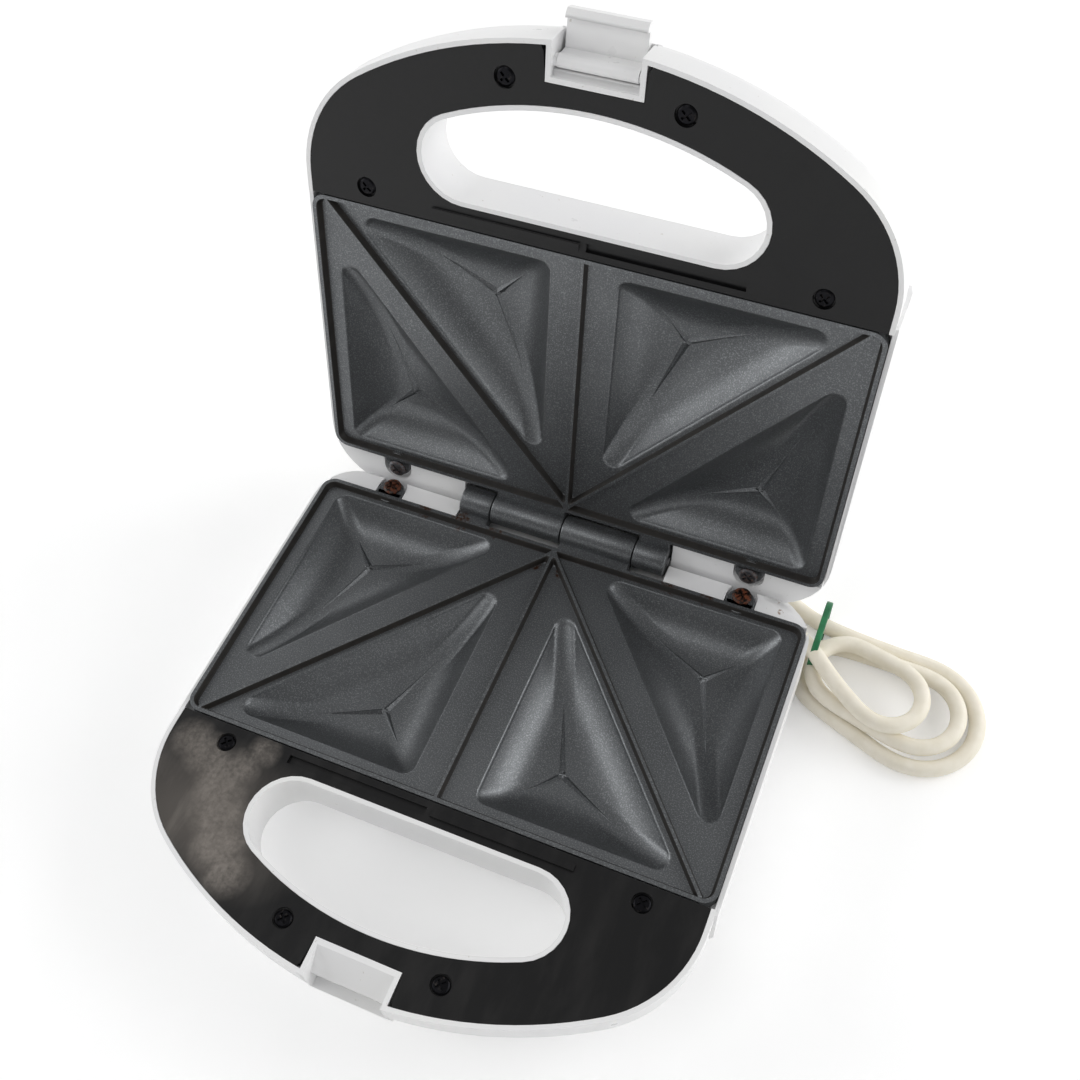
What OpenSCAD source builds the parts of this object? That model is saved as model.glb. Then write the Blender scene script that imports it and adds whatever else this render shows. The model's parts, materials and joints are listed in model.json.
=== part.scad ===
// Sandwich toaster with two hinged halves, shown open.
// Every half is drawn in its own frame: X right, Y back, Z up, z = 0 on the
// parting plane and the plate centred on x = y = 0. The lid is the same half
// turned over about Y and swung open about the hinge pin.

/* [Plate casting] */
// Width of the plate casting, mm
plate_w = 224; // [210:1:240]
// Depth of the plate casting, front to back, mm
plate_d = 124; // [118:1:128]
// Corner radius of the plate, mm
plate_r = 6; // [2:0.5:12]
// Thickness of the cast slab, lip included, mm
slab_t = 6; // [5:0.5:8]
// Height of the lip and of the cutting ridges above the field, mm
lip_h = 3; // [1.5:0.5:4]
// Width of the lip round the edge, mm
lip_w = 1.8; // [1:0.1:4]
// Depth of each pocket below the field, mm
pocket_depth = 11.5; // [6:0.5:16]
// Wall left under a pocket, mm
pocket_wall = 2; // [1.5:0.25:4]
// Width of a ridge at its foot, mm
ridge_foot = 3; // [2:0.5:6]
// Width of a ridge at its top, mm
ridge_top = 1.2; // [0.6:0.2:2]

/* [Housing] */
// Depth of a body half from the parting plane to its flat face, mm
body_h = 42; // [38:1:60]
// Wall of the housing, mm
wall = 2.5; // [1.5:0.25:3]
// Width of the rim beside the plate, mm
rim_w = 2; // [1.5:0.25:4]
// Depth of the deck behind the plate, on the lid, mm
lid_deck = 18; // [16:0.5:22]
// How far the rim of the body lies below the parting plane, mm
rim_drop = 2; // [1:0.25:3]
// Plan radius of the rear corners, mm
rear_r = 28; // [18:1:34]

/* [Handle] */
// Depth of the handle at the front, mm
handle_h = 21; // [19:0.5:26]
// Radius of the front curve of the cover, mm
front_r = 166; // [160:1:172]
// Thickness of the handle cover, mm
cover_t = 2.5; // [2:0.25:3]
// White rim outside the cover, mm
handle_rim = 1.9; // [1.2:0.1:3]
// Width of the tongue between the covers, mm
tongue_w = 2.8; // [1.6:0.2:4]
// Height of the tongue between the covers, mm
tongue_h = 1.1; // [0.6:0.1:1.3]

/* [Hinge] */
// Angle of the lid above closed, degrees
open_angle = 103; // [95:1:105]
// Diameter of the hinge pin, mm
pin_d = 4; // [3:0.5:5]
// Outer diameter of a knuckle, mm
knuckle_d = 13.5; // [10:0.5:14]
// Running gap between two knuckles, mm
knuckle_gap = 0.4; // [0.2:0.1:1]
// Clearance of a turning part round its pin, per side, mm
run = 0.06; // [0.03:0.01:0.1]

/* [Latch] */
// Width of the latch clip, mm
clip_w = 28.4; // [20:0.5:29]
// Thickness of the clip's plate, mm
clip_t = 3; // [2:0.25:3.5]
// Diameter of the latch pin, mm
latch_pin_d = 2.5; // [2:0.25:3]
// Outer diameter of the clip's barrel, mm
barrel_d = 4.7; // [4:0.1:5]
// How far the clip stands out from its latched place, degrees
clip_swing = 95; // [80:1:97]

/* [Heating] */
// Diameter of the tubular element, mm
element_d = 6.5; // [5.5:0.5:8]
// Half width of the element's loop, mm
element_x = 70; // [60:1:76]
// Half depth of the element's loop, mm
element_y = 35; // [28:1:38]
// Thickness of the reflector sheet, mm
sheet_t = 0.8; // [0.5:0.1:1.2]

/* [Feet and cord] */
// Height of the rubber feet, mm
foot_h = 4; // [2:0.5:8]
// Diameter of the rubber feet, mm
foot_d = 14; // [10:1:16]
// Diameter of the mains cord, mm
cord_d = 7; // [6:0.5:8]
// Height of the coiled hank on the table, mm
hank_h = 22; // [18:1:26]

/* [Hidden] */

gap = 0.15;                        // half of the seam, and the slack of a seated piece
seat_gap = 0.3;                    // plate edge to housing
ph = plate_d / 2;                  // plate's half depth
body_x = plate_w / 2 + rim_w;      // half width of the body
body_front = -ph - 2;              // front face of the body
body_back = ph + lid_deck;         // rear face of the body
hinge_y = ph + 10;                 // hinge axis, on the parting plane
floor_z = -body_h - foot_h;
shift_y = -0.8;                    // puts the origin under the middle of the part
slab_z = -gap - slab_t;            // underside of the slab
seat_z = slab_z - gap;             // ledge that carries the plate
field_z = -gap - lip_h + 0.15;
pocket_z = field_z - pocket_depth;
bulge_z = pocket_z - pocket_wall;
cover_z = -gap - cover_t;
cover_x = plate_w / 2 - 1;
cover_back = -ph - 0.6;            // rear edge of the cover
tongue_y = -ph - 5;                // tongue and groove between the covers
handle_y = -ph - 9;                // where the handle's corner curve starts
corner_r = 48;
corner_a = acos((cover_x - corner_r) / (front_r - corner_r));
cover_front = handle_y + (front_r - corner_r) * sin(corner_a) - front_r;
hole_x = cover_x - 62.8;           // centres of the hand hole's ends
hole_y = handle_y - 18;
hole_end_r = 17.8;
hole_r = 136;
screw_x = cover_x - 23.6;          // screws of the cover, at the plate and at the front
cover_screws = [[-screw_x, handle_y + 1.2], [screw_x, handle_y + 1.2], [-31.8, cover_front + 14.3], [31.8, cover_front + 14.3]];
tab_x = plate_w / 2 - 30.1;
tab_y = ph + 5.4;
tab_r = 6.2;
tab_z = -1.75;
tab_t = 3;
tab_end = hinge_y - 0.7;           // rear edge of the tabs and of the base's deck
deck_r = 18.5;
// rear edge of the open lid, and the ledge of the base 0.3 below it
stop_y = hinge_y + (lid_deck - 10) * cos(open_angle) + rim_drop * sin(open_angle);
stop_z = -(lid_deck - 10) * sin(open_angle) + rim_drop * cos(open_angle) - 0.3;
trough_x = 48.5;
trough_z = -9.5;
knuckle_x = [-trough_x + 1, -33, 0, 33, trough_x - 1];
notch_x = 15.5;                    // half width of the latch notch
notch_wall = 1.85;
notch_back = 11.1;                 // rear face of the notch, behind the cover's front
catch_y = 10.7;                    // where the base's catch starts to slope
latch_y = cover_front + 6.5;
latch_z = -4.2;
clip_in = 4.9;                     // clip's inner face in front of the barrel axis
clip_reach = 15.7;                 // clip's tip past the barrel axis
nose_t = 3;
ledge_z = -8.4;                    // underside of the catch
element_z = bulge_z - gap - element_d / 2;
clamp_t = 1.2;
clamp_z = element_z - element_d / 2 - gap;
sheet_z = clamp_z - clamp_t - gap;
clamp_spots = [[61.5, -9.6, 0], [-61.5, -9.6, 180], [0, -26, -90]];
rear_foot = [plate_w / 2 - 28, ph - 7];
front_foot = [plate_w / 2 - 26, -ph + 21];
feet = [rear_foot, [-rear_foot[0], rear_foot[1]], front_foot, [-front_foot[0], front_foot[1]]];
sheet_w = plate_w - 34;            // reflector
sheet_d = plate_d - 24;
block_y = body_back - 50;          // middle of the terminal block
block_d = 18;
block_top = -body_h + wall + 9.5;
cord_x = 20;
cord_z = -body_h + 15.5;
cord_end = body_back - 30;         // inner end of the cord
clamp_y = body_back - 16;          // cord clamp
clamp_x = 9.5;                     // its screws beside the cord
boot_y = body_back + 12;
boot_in = body_back - wall - 3.9;    // inner face of the pad round the boot
lamp_x = 12;
lamp_y = -ph + 20;                // indicator lamps
tri_back = [[plate_w / 2 - 9.7, ph - 7.3], [26.6, ph - 7.3], [plate_w / 2 - 10.2, -ph + 32]];
tri_front = [[plate_w / 2 - 21.4, -ph + 10.5], [15.5, ph - 31], [14.8, -ph + 6.5]];
// mains cord from the boot to the hank, and from the hank to the plug
cord_a = [[20, 92, -26.5], [20, 98, -26.5], [21, 105, -29], [24.5, 112, -33.5], [31.5, 117.5, -38.5], [41, 119, -41.8], [53, 116.8, -42.4], [65, 111.5, -42.4], [78, 106.5, -42.4], [90, 101.3, -42.4], [101, 96.5, -42.4], [110, 92.3, -42.4]];
cord_b = [[113.2, 70.6, -28.6], [106.2, 77.4, -33.5], [98.8, 81.8, -39], [90.5, 84.9, -41.8], [80, 87.6, -42.4], [68, 89, -42.4], [56, 89.3, -42.4], [44, 89.2, -42.4], [32, 89, -42.4], [20, 89, -42.4], [8, 90.6, -42.4], [-3, 94.3, -42.3], [-12, 100, -41.2], [-20, 107, -38], [-28, 113.5, -33], [-35, 118, -29.3], [-41, 120, -27.5], [-45, 120, -27.5]];
tie_x = 116.1;                     // wire tie round the hank, across the cord
tie_w = 3;
tie_y = [63.4, 95.2];
plug_x = -45;
plug_y = 120;
plug_z = floor_z + 18.5;

function arc(cx, cy, r, a0, a1, n) = [for (i = [0:n]) [cx + r * cos(a0 + (a1 - a0) * i / n), cy + r * sin(a0 + (a1 - a0) * i / n)]];
function mirrored(p) = concat(p, [for (i = [len(p) - 1:-1:0]) if (abs(p[i][0]) > 0.001) [-p[i][0], p[i][1]]]);

// Plan of the body, drawn in by d from its outline.
function body_pts(d = 0, back = body_back, r = rear_r) = mirrored(concat([[body_x - d, body_front + d]], arc(body_x - r, back - r, max(r - d, 2), 0, 90, 10)));

// Plan of the handle, grown by g from the cover's outline, open at the back to y = back.
function handle_pts(g = 0, back = cover_back) = mirrored(concat([[cover_x + g, back]], arc(cover_x - corner_r, handle_y, corner_r + g, 0, -corner_a, 12), arc(0, handle_y + (front_r - corner_r) * sin(corner_a), front_r + g, -corner_a - 2, -90, 14)));

// Hand hole, grown by g.
hole_a = acos(hole_x / (hole_r - hole_end_r));
function hole_pts(g = 0) = mirrored(concat(arc(hole_x, hole_y, hole_end_r + g, 90, -hole_a, 12), arc(0, hole_y + (hole_r - hole_end_r) * sin(hole_a), hole_r + g, -hole_a - 3, -90, 10)));

// Triangle with rounded corners, scaled by s about its incentre.
function incentre(t) = let (a = norm(t[1] - t[2]), b = norm(t[2] - t[0]), c = norm(t[0] - t[1])) (a * t[0] + b * t[1] + c * t[2]) / (a + b + c);
function unit(v) = v / norm(v);
function rounded(t, r) = [for (i = [0:2]) let (p = t[i], u = unit(t[(i + 2) % 3] - p), v = unit(t[(i + 1) % 3] - p), h = acos(u * v) / 2, k = r / tan(h)) each [p + k * u, p + (k * 0.45) * u + (k * 0.05) * v, p + (k * 0.22) * (u + v), p + (k * 0.45) * v + (k * 0.05) * u, p + k * v]];
function tri(t, s, r = 4) = let (c = incentre(t)) [for (p = rounded(t, r)) c + s * (p - c)];

// Round tube along a list of points.
function tangents(p) = [for (i = [0:len(p) - 1]) unit(p[min(i + 1, len(p) - 1)] - p[max(i - 1, 0)])];
function sides(t, u, i = 0) = i == len(t) ? [] : let (v = unit(u - (u * t[i]) * t[i])) concat([v], sides(t, v, i + 1));
module tube(p, r, n) {
    t = tangents(p);
    s = sides(t, abs(t[0][2]) < 0.9 ? [0, 0, 1] : [1, 0, 0]);
    m = len(p);
    polyhedron(
        [for (i = [0:m - 1]) for (k = [0:n - 1]) p[i] + r * (cos(360 * k / n) * s[i] + sin(360 * k / n) * cross(t[i], s[i]))],
        concat([[for (k = [0:n - 1]) k]], [[for (k = [n - 1:-1:0]) (m - 1) * n + k]],
            [for (i = [0:m - 2]) for (k = [0:n - 1]) [i * n + k, (i + 1) * n + k, (i + 1) * n + (k + 1) % n, i * n + (k + 1) % n]]));
}

module slab(z0, z1) translate([0, 0, z0]) linear_extrude(z1 - z0) children();
// Solid through plan outlines of equal point counts, one at each height, from the lowest up.
function turning(p) = let (n = len(p)) [for (i = [0:n - 1]) p[i][0] * p[(i + 1) % n][1] - p[(i + 1) % n][0] * p[i][1]] * [for (i = p) 1];
module loft(zs, plans) {
    n = len(plans[0]);
    m = len(zs);
    rings = [for (p = plans) turning(plans[0]) > 0 ? p : [for (i = [n - 1:-1:0]) p[i]]];
    polyhedron(
        [for (i = [0:m - 1]) for (p = rings[i]) [p[0], p[1], zs[i]]],
        concat([[for (k = [0:n - 1]) k]], [[for (k = [n - 1:-1:0]) (m - 1) * n + k]],
            [for (i = [0:m - 2]) for (k = [0:n - 1]) each [[i * n + k, (i + 1) * n + k, (i + 1) * n + (k + 1) % n], [i * n + k, (i + 1) * n + (k + 1) % n, i * n + (k + 1) % n]]]));
}
// Bar along X between x0 and x1 with the (y, z) section given.
module bar(x0, x1, yz) translate([x0, 0, 0]) rotate([90, 0, 90]) linear_extrude(x1 - x0) polygon(yz);
// Frame of the latch, with y = 0 on the cover's front.
module at_front() translate([0, cover_front, 0]) children();
module in_base() translate([0, shift_y, -floor_z]) children();
module in_lid() in_base() translate([0, hinge_y, 0]) rotate([-open_angle, 0, 0]) translate([0, -hinge_y, 0]) rotate([0, 180, 0]) children();

// ---------------------------------------------------------------- housing

// Drawn in by these amounts, the outlines round the edge of a wall of depth h.
function edge_z(h) = [-h, -h + 1.5, -h + 4, -h + 8, -h + 15];
edge_in = [13, 7.5, 3.8, 1.2, 0];
module body_solid() loft(concat(edge_z(body_h), -rim_drop), [for (d = concat(edge_in, 0)) body_pts(d)]);
module body_cavity(top) loft(concat([for (z = edge_z(body_h - wall)) z], top), [for (d = concat(edge_in, 0)) body_pts(wall + 1 + d)]);
handle_in = [10, 6, 3, 1, 0];
function handle_zs(h) = [-h, -h + 1, -h + 3, -h + 6, -h + 10];
module handle_solid() loft(concat(handle_zs(handle_h), -gap), [for (d = concat(handle_in, 0)) handle_pts(handle_rim - d, -ph - 0.5)]);
module handle_cavity() difference() {
    loft(concat(handle_zs(handle_h - wall), cover_z - gap), [for (d = concat(handle_in, 0)) handle_pts(handle_rim - wall - d, body_front - 0.5)]);
    slab(-30, 1) polygon(hole_pts(0.6));
    for (s = cover_screws) translate([s[0], s[1], -30]) cylinder(d = 7.2, h = 31, $fn = 40);
}
module notch_plan(g) polygon([[-notch_x - g, notch_back + g], [-notch_x - g, -8], [notch_x + g, -8], [notch_x + g, notch_back + g]]);

module half_shell(lid) {
    cavity_top = lid ? -rim_drop - wall : trough_z - wall;
    difference() {
        union() {
            difference() {
                union() {
                    body_solid();
                    handle_solid();
                }
                body_cavity(cavity_top);
                if (!lid) slab(cavity_top - 0.02, -rim_drop - wall) polygon(body_pts(wall + 1, tab_end + 1, deck_r));
                handle_cavity();
                // seat of the plate, and of the cover in front of it
                slab(seat_z, 1) square([plate_w + 2 * seat_gap, plate_d + 2 * seat_gap], center = true);
                slab(cavity_top - 0.02, 1) translate([-body_x + wall + 1, body_front + wall + 1]) square([2 * (body_x - wall - 1), ph - 2 - body_front - wall - 1]);
                slab(cover_z - gap, 1) difference() {
                    polygon(handle_pts(gap, -ph - seat_gap));
                    polygon(hole_pts(-gap));
                }
                slab(-30, 1) polygon(hole_pts(-2));
                // slots for the two front tongues of the plate
                for (s = [-1, 1]) translate([s * 60 - 8.3, body_front - 0.7, seat_z]) cube([16.6, 4, slab_t]);
            }
            // trough under the hinge knuckles
            difference() {
                bar(-trough_x - wall, trough_x + wall, [[ph - 2, slab_z - gap], [ph - 2, trough_z - wall], [body_back - 2, trough_z - wall], [body_back - 2, -rim_drop], [ph + 2, -rim_drop]]);
                slab(seat_z, 1) square([plate_w + 2 * seat_gap, plate_d + 2 * seat_gap], center = true);
            }
            // bosses of the plate's two screws, with a pad under each recess
            for (s = [-1, 1]) {
                translate([s * tab_x, tab_y, -22]) cylinder(d = 8, h = 16, $fn = 40);
                difference() {
                    translate([s * tab_x, tab_y, -7.5]) cylinder(r = tab_r + 1.9, h = 7.5 - rim_drop - 0.1, $fn = 60);
                    slab(seat_z, 1) square([plate_w + 2 * seat_gap, plate_d + 2 * seat_gap], center = true);
                }
            }
            // walls and floor of the latch notch
            at_front() slab(lid ? -14.8 : -18.3, -gap) difference() {
                notch_plan(notch_wall);
                notch_plan(0);
                translate([-40, -23]) square([80, 22.6]);
            }
            at_front() if (lid) bar(-notch_x - 1, notch_x + 1, [[notch_back, -2.2], [9.3, -2.2], [9.3, -12.8], [-1, -12.8], [0, -14.8], [notch_back + 0.4, -14.8]]);
            else bar(-notch_x - 1, notch_x + 1, [[notch_back, -gap], [catch_y, -gap], [2.2, -7.4], [2.2, ledge_z], [6.2, ledge_z], [6.2, -16.3], [-0.8, -16.3], [0.7, -18.3], [8.4, -18.3], [8.4, -8], [notch_back + 0.4, -5]]);
            if (lid) for (s = [-1, 1]) translate([s * (notch_x - 0.52), latch_y, latch_z]) rotate([0, 90, 0]) cylinder(d = barrel_d - 0.4, h = 1.1, center = true, $fn = 40);
            if (lid) lamp_posts();
            else {
                floor_posts();
                // flat pads for the cord's boot
                translate([cord_x, boot_in, cord_z]) rotate([-90, 0, 0]) cylinder(r = 8.4, h = body_back - boot_in, $fn = 48);
            }
        }
        // opening of the notch in the front wall, its floor falling away under the lid's clip
        at_front() if (lid) bar(-notch_x, notch_x, [[3.2, 1], [3.2, -12.8], [-8, -13.8], [-8, 1]]);
        else bar(-notch_x, notch_x, [[catch_y, 1], [catch_y, -gap], [2.2, -7.4], [2.2, ledge_z], [6.2, ledge_z], [6.2, -16.3], [-8, -16.3], [-8, 1]]);
        if (lid) translate([0, latch_y, latch_z]) rotate([0, 90, 0]) cylinder(d = latch_pin_d, h = 2 * notch_x + 4.2, center = true, $fn = 40);
        // the drop and the sloping ledge behind the base's deck, where the open lid rests
        if (!lid) {
            slab(stop_z, 1) difference() {
                translate([-body_x - 5, ph - 10]) square([2 * body_x + 10, 40]);
                polygon(body_pts(0, tab_end, deck_r));
                translate([-body_x - 5, ph - 30]) square([2 * body_x + 10, 20.1]);
            }
            bar(-body_x - 5, body_x + 5, [[tab_end, 1], [tab_end, stop_z], [stop_y, stop_z], [body_back + 6, stop_z - (body_back + 6 - stop_y) / tan(180 - open_angle)], [body_back + 6, 1]]);
        }
        // trough, recesses for the tabs, pilot holes
        bar(-trough_x, trough_x, [[ph + seat_gap, 1], [ph + seat_gap, trough_z], [body_back + 1, trough_z], [body_back + 1, 1]]);
        for (s = [-1, 1]) {
            translate([s * tab_x, tab_y, tab_z - tab_t - gap]) cylinder(r = tab_r + 0.4, h = 10, $fn = 60);
            translate([s * tab_x - tab_r - 0.4, ph - 1, tab_z - tab_t - gap]) cube([2 * tab_r + 0.8, 6.4, 10]);
            translate([s * tab_x, tab_y, -18]) cylinder(r = 1.55, h = 20, $fn = 40);
        }
        for (s = cover_screws) translate([s[0], s[1], -15]) cylinder(r = 1.5, h = 20, $fn = 40);
        if (lid) for (s = [-1, 1]) translate([s * lamp_x, lamp_y, -body_h - 1]) cylinder(r = 4.6, h = 5, $fn = 48);
        else {
            for (f = feet) translate([f[0], f[1], -body_h - 1]) cylinder(r = 2.5, h = 5, $fn = 40);
            translate([cord_x, boot_in - 1, cord_z]) rotate([-90, 0, 0]) cylinder(r = 5, h = 12, $fn = 48);
        }
    }
}
// Posts on the base's floor for the cord clamp.
module floor_posts() for (s = [-1, 1]) translate([cord_x + s * clamp_x, clamp_y, 0]) difference() {
    slab(-body_h + wall - 0.5, cord_z - 3.8) circle(d = 7.5, $fn = 40);
    slab(-body_h + wall + 1.5, 0) circle(r = 1.5, $fn = 32);
}
// Posts on the lid's inner face for the lamp holder.
module lamp_posts() for (s = [-1, 1]) translate([s * 26, lamp_y, 0]) difference() {
    slab(-body_h + wall - 0.5, -body_h + wall + 5) circle(d = 6, $fn = 40);
    slab(-body_h + wall + 1, 0) circle(r = 1.2, $fn = 32);
}

// ---------------------------------------------------------------- covers

module cover() difference() {
    union() {
        slab(cover_z, -gap) difference() {
            polygon(handle_pts(0));
            polygon(hole_pts(0));
            at_front() polygon([[-17.5, 13.2], [-18.2, 2.7], [-19.3, 1.2], [-21, -2.8], [21, -2.8], [19.3, 1.2], [18.2, 2.7], [17.5, 13.2]]);
            for (s = cover_screws) translate(s) circle(r = 1.7, $fn = 40);
        }
        translate([1.5, tongue_y - tongue_w / 2, -gap - 0.5]) cube([58.5, tongue_w, tongue_h + 0.5]);
    }
    translate([-60.6, tongue_y - tongue_w / 2 - 0.4, -gap - tongue_h - 0.4]) cube([59.7, tongue_w + 0.8, 5]);
    for (s = cover_screws) translate([s[0], s[1], -gap - 1.3]) cylinder(r = 4, h = 3, $fn = 48);
}
module cross_screw(r, h, shank, length) difference() {
    union() {
        rotate_extrude($fn = 48) polygon([[0, 0], [r, 0], [r, h * 0.55], [r * 0.8, h * 0.9], [r * 0.4, h], [0, h]]);
        translate([0, 0, -length]) cylinder(r = shank, h = length + 0.01, $fn = 40);
    }
    for (a = [45, 135]) rotate(a) translate([-r * 0.62, -0.45, h * 0.35]) cube([r * 1.24, 0.9, h]);
}
module cover_screw_set() for (s = cover_screws) translate([s[0], s[1], -gap - 1.3]) cross_screw(3.4, 1.2, 1.45, 11);

// ---------------------------------------------------------------- plate

module ridge(p, q) translate([p[0], p[1], 0]) rotate([0, 0, atan2(q[1] - p[1], q[0] - p[0])]) bar(0, norm(q - p), [[-ridge_foot / 2, field_z - 0.5], [-ridge_foot / 2, field_z], [-ridge_top / 2, -gap], [ridge_top / 2, -gap], [ridge_foot / 2, field_z], [ridge_foot / 2, field_z - 0.5]]);
// Bowl of a pocket: steep below its edge, then easing into the floor.
pocket_in = [0.02, 0.24, 0.4, 0.56, 0.72, 0.86, 0.94, 0.975, 1];
pocket_at = [1, 0.97, 0.88, 0.7, 0.47, 0.25, 0.13, 0.05, 0];
module pocket(t) loft([for (a = pocket_at) field_z - a * pocket_depth], [for (s = pocket_in) tri(t, s)]);
module bulge(t) {
    slab(bulge_z, slab_z + 0.5) polygon(tri(t, 0.62));
    slab(bulge_z + 4.6, slab_z + 0.5) polygon(tri(t, 0.86));
    slab(bulge_z + 7.8, slab_z + 0.5) polygon(tri(t, 1.04));
}
module plate(bore) difference() {
    union() {
        difference() {
            slab(slab_z, -gap) rounded_plan(0);
            slab(field_z, 1) rounded_plan(lip_w);
        }
        intersection() {
            union() {
                ridge([0, ph - 1], [0, -ph + 1]);
                for (s = [-1, 1]) ridge([0, ph - 2], [s * (plate_w / 2 - 6), -ph + 1]);
            }
            slab(slab_z, 0) rounded_plan(0.1);
        }
        for (t = [tri_back, tri_front]) {
            bulge(t);
            mirror([1, 0, 0]) bulge(t);
        }
        // screw tabs and front tongues
        for (s = [-1, 1]) slab(tab_z - tab_t, tab_z) intersection() {
            union() {
                translate([s * tab_x, tab_y]) circle(r = tab_r, $fn = 60);
                translate([s * tab_x - tab_r, ph - 1]) square([2 * tab_r, tab_y - ph + 1]);
            }
            translate([-plate_w / 2, 0]) square([plate_w, tab_end - 0.2]);
        }
        for (s = [-1, 1]) translate([s * 60 - 8, -ph - 2.2, slab_z]) cube([16, 3, slab_t - 3.4]);
        // knuckles
        for (k = [0, 2]) knuckle(knuckle_x[k] + (k == 0 ? 0 : knuckle_gap / 2), knuckle_x[k + 1] - knuckle_gap / 2);
        // bosses under the slab for the element clamps
        for (c = clamp_spots) translate([c[0], c[1], clamp_z]) cylinder(d = 8, h = slab_z - clamp_z + 0.5, $fn = 40);
    }
    pocket(tri_back);
    pocket(tri_front);
    mirror([1, 0, 0]) pocket(tri_back);
    mirror([1, 0, 0]) pocket(tri_front);
    for (s = [-1, 1]) translate([s * tab_x, tab_y, -10]) cylinder(r = 2.1, h = 12, $fn = 40);
    for (c = clamp_spots) translate([c[0], c[1], clamp_z - 1]) cylinder(r = 1.5, h = 11, $fn = 32);
    translate([0, hinge_y, 0]) rotate([0, 90, 0]) cylinder(r = bore, h = 120, center = true, $fn = 48);
}
module rounded_plan(g) hull() for (x = [-1, 1]) for (y = [-1, 1]) translate([x * (plate_w / 2 - plate_r), y * (ph - plate_r)]) circle(r = plate_r - g, $fn = 48);
module knuckle(x0, x1) {
    translate([x0, hinge_y, 0]) rotate([0, 90, 0]) cylinder(d = knuckle_d, h = x1 - x0, $fn = 60);
    bar(x0, x1, [[ph - 1, slab_z], [hinge_y, slab_z], [hinge_y, -0.5], [hinge_y - knuckle_d / 2 + 0.5, -gap], [ph - 1, -gap]]);
}
module plate_screw_set() for (s = [-1, 1]) translate([s * tab_x, tab_y, tab_z]) cross_screw(4, 1.4, 1.5, 15);

// ---------------------------------------------------------------- heating

module rod(p, q) translate(p) rotate([0, 0, atan2(q[1] - p[1], q[0] - p[0])]) rotate([0, 90, 0]) cylinder(d = element_d, h = norm(q - p), $fn = 40);
module bend(c, a) translate(c) rotate([0, 0, a]) rotate_extrude(angle = 90, $fn = 60) translate([14, 0]) circle(d = element_d, $fn = 40);
module element() translate([0, 0, element_z]) {
    x = element_x;
    y = element_y;
    rod([-x, -y + 14, 0], [-x, y - 14, 0]);
    rod([x, -y + 14, 0], [x, y - 14, 0]);
    rod([-x + 14, -y, 0], [x - 14, -y, 0]);
    rod([16, y, 0], [x - 14, y, 0]);
    rod([-x + 14, y, 0], [-16, y, 0]);
    bend([x - 14, y - 14, 0], 0);
    bend([-x + 14, y - 14, 0], 90);
    bend([-x + 14, -y + 14, 0], 180);
    bend([x - 14, -y + 14, 0], 270);
    // terminal pins
    for (s = [-1, 1]) translate([s * 16 - (s > 0 ? 8 : 0), y, 0]) rotate([0, 90, 0]) cylinder(r = 1.6, h = 8, $fn = 32);
}
module at_clamps() for (c = clamp_spots) translate([c[0], c[1], 0]) rotate([0, 0, c[2]]) children();
module clamp() slab(clamp_z - clamp_t, clamp_z) difference() {
    translate([-5, -5]) square([19, 10]);
    circle(r = 1.7, $fn = 32);
}
module clamp_screw() translate([0, 0, sheet_z - sheet_t]) mirror([0, 0, 1]) cross_screw(3, 1.6, 1.4, 9);
module reflector() difference() {
    slab(sheet_z - sheet_t, sheet_z + 5) square([sheet_w, sheet_d], center = true);
    slab(sheet_z, 0) square([sheet_w - 2 * sheet_t, sheet_d - 2 * sheet_t], center = true);
    for (c = clamp_spots) translate([c[0], c[1], -40]) cylinder(r = 1.7, h = 30, $fn = 32);
    // gap for the wires at the element's ends and the cord's cores
    slab(-40, 0) translate([0, element_y + 9]) square([2 * cord_x + 5, 20], center = true);
}

// ---------------------------------------------------------------- electrics

module thermostat() translate([0, -4, 0]) {
    slab(slab_z - 7, slab_z - gap) circle(r = 9, $fn = 60);
    slab(slab_z - 12, slab_z - 6.99) circle(r = 7, $fn = 60);
    for (s = [-1, 1]) translate([s * 9 - 3, 0, slab_z - 9.5]) slab(0, 0.8) translate([0, -3]) square([6, 6]);
}
module thermal_fuse() translate([0, 20, slab_z - gap]) {
    translate([-12, 0, -3.2]) rotate([0, 90, 0]) cylinder(r = 2.2, h = 24, $fn = 40);
    bar(-3, 3, [[-4.5, 0], [4.5, 0], [4.5, -1], [3.2, -1], [3.2, -6.6], [-3.2, -6.6], [-3.2, -1], [-4.5, -1]]);
}
module terminal_block() translate([18, block_y, 0]) slab(-body_h + wall + gap, block_top) difference() {
    translate([-16, -block_d / 2]) square([32, block_d]);
    for (x = [-9, 0, 9]) for (y = [-4.5, 4.5]) translate([x, y]) circle(r = 1.8, $fn = 24);
}
// Wires from the terminal block to the element and to the cord, and from thermostat to fuse.
module base_wiring() {
    y = block_y + block_d / 2 + gap;
    tube([[10, y, block_top - 2], [10, y + 2.35, block_top - 2], [10, element_y + 10, block_top + 2], [10, element_y + 10.5, element_z - 3.1], [10, element_y + 7, element_z], [10, element_y + 2, element_z]], 1.2, 8);
    tube([[cord_x, cord_end - 0.1, cord_z], [cord_x, cord_end - 3, cord_z], [cord_x, y + 5.85, cord_z - 3], [cord_x, y + 4.35, block_top - 3], [cord_x, y + 2.35, block_top - 5], [cord_x, y, block_top - 5]], 1.2, 8);
    tube([[-9.5, -4, -16.8], [-13.5, -4, -17.1], [-16, 2, -15.2], [-16, 12, -11.7], [-16.8, 17.5, -11], [-15.5, 20, -10.6], [-13.4, 20, -9.5], [-12.15, 20, -9.5]], 1.1, 8);
}
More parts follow.
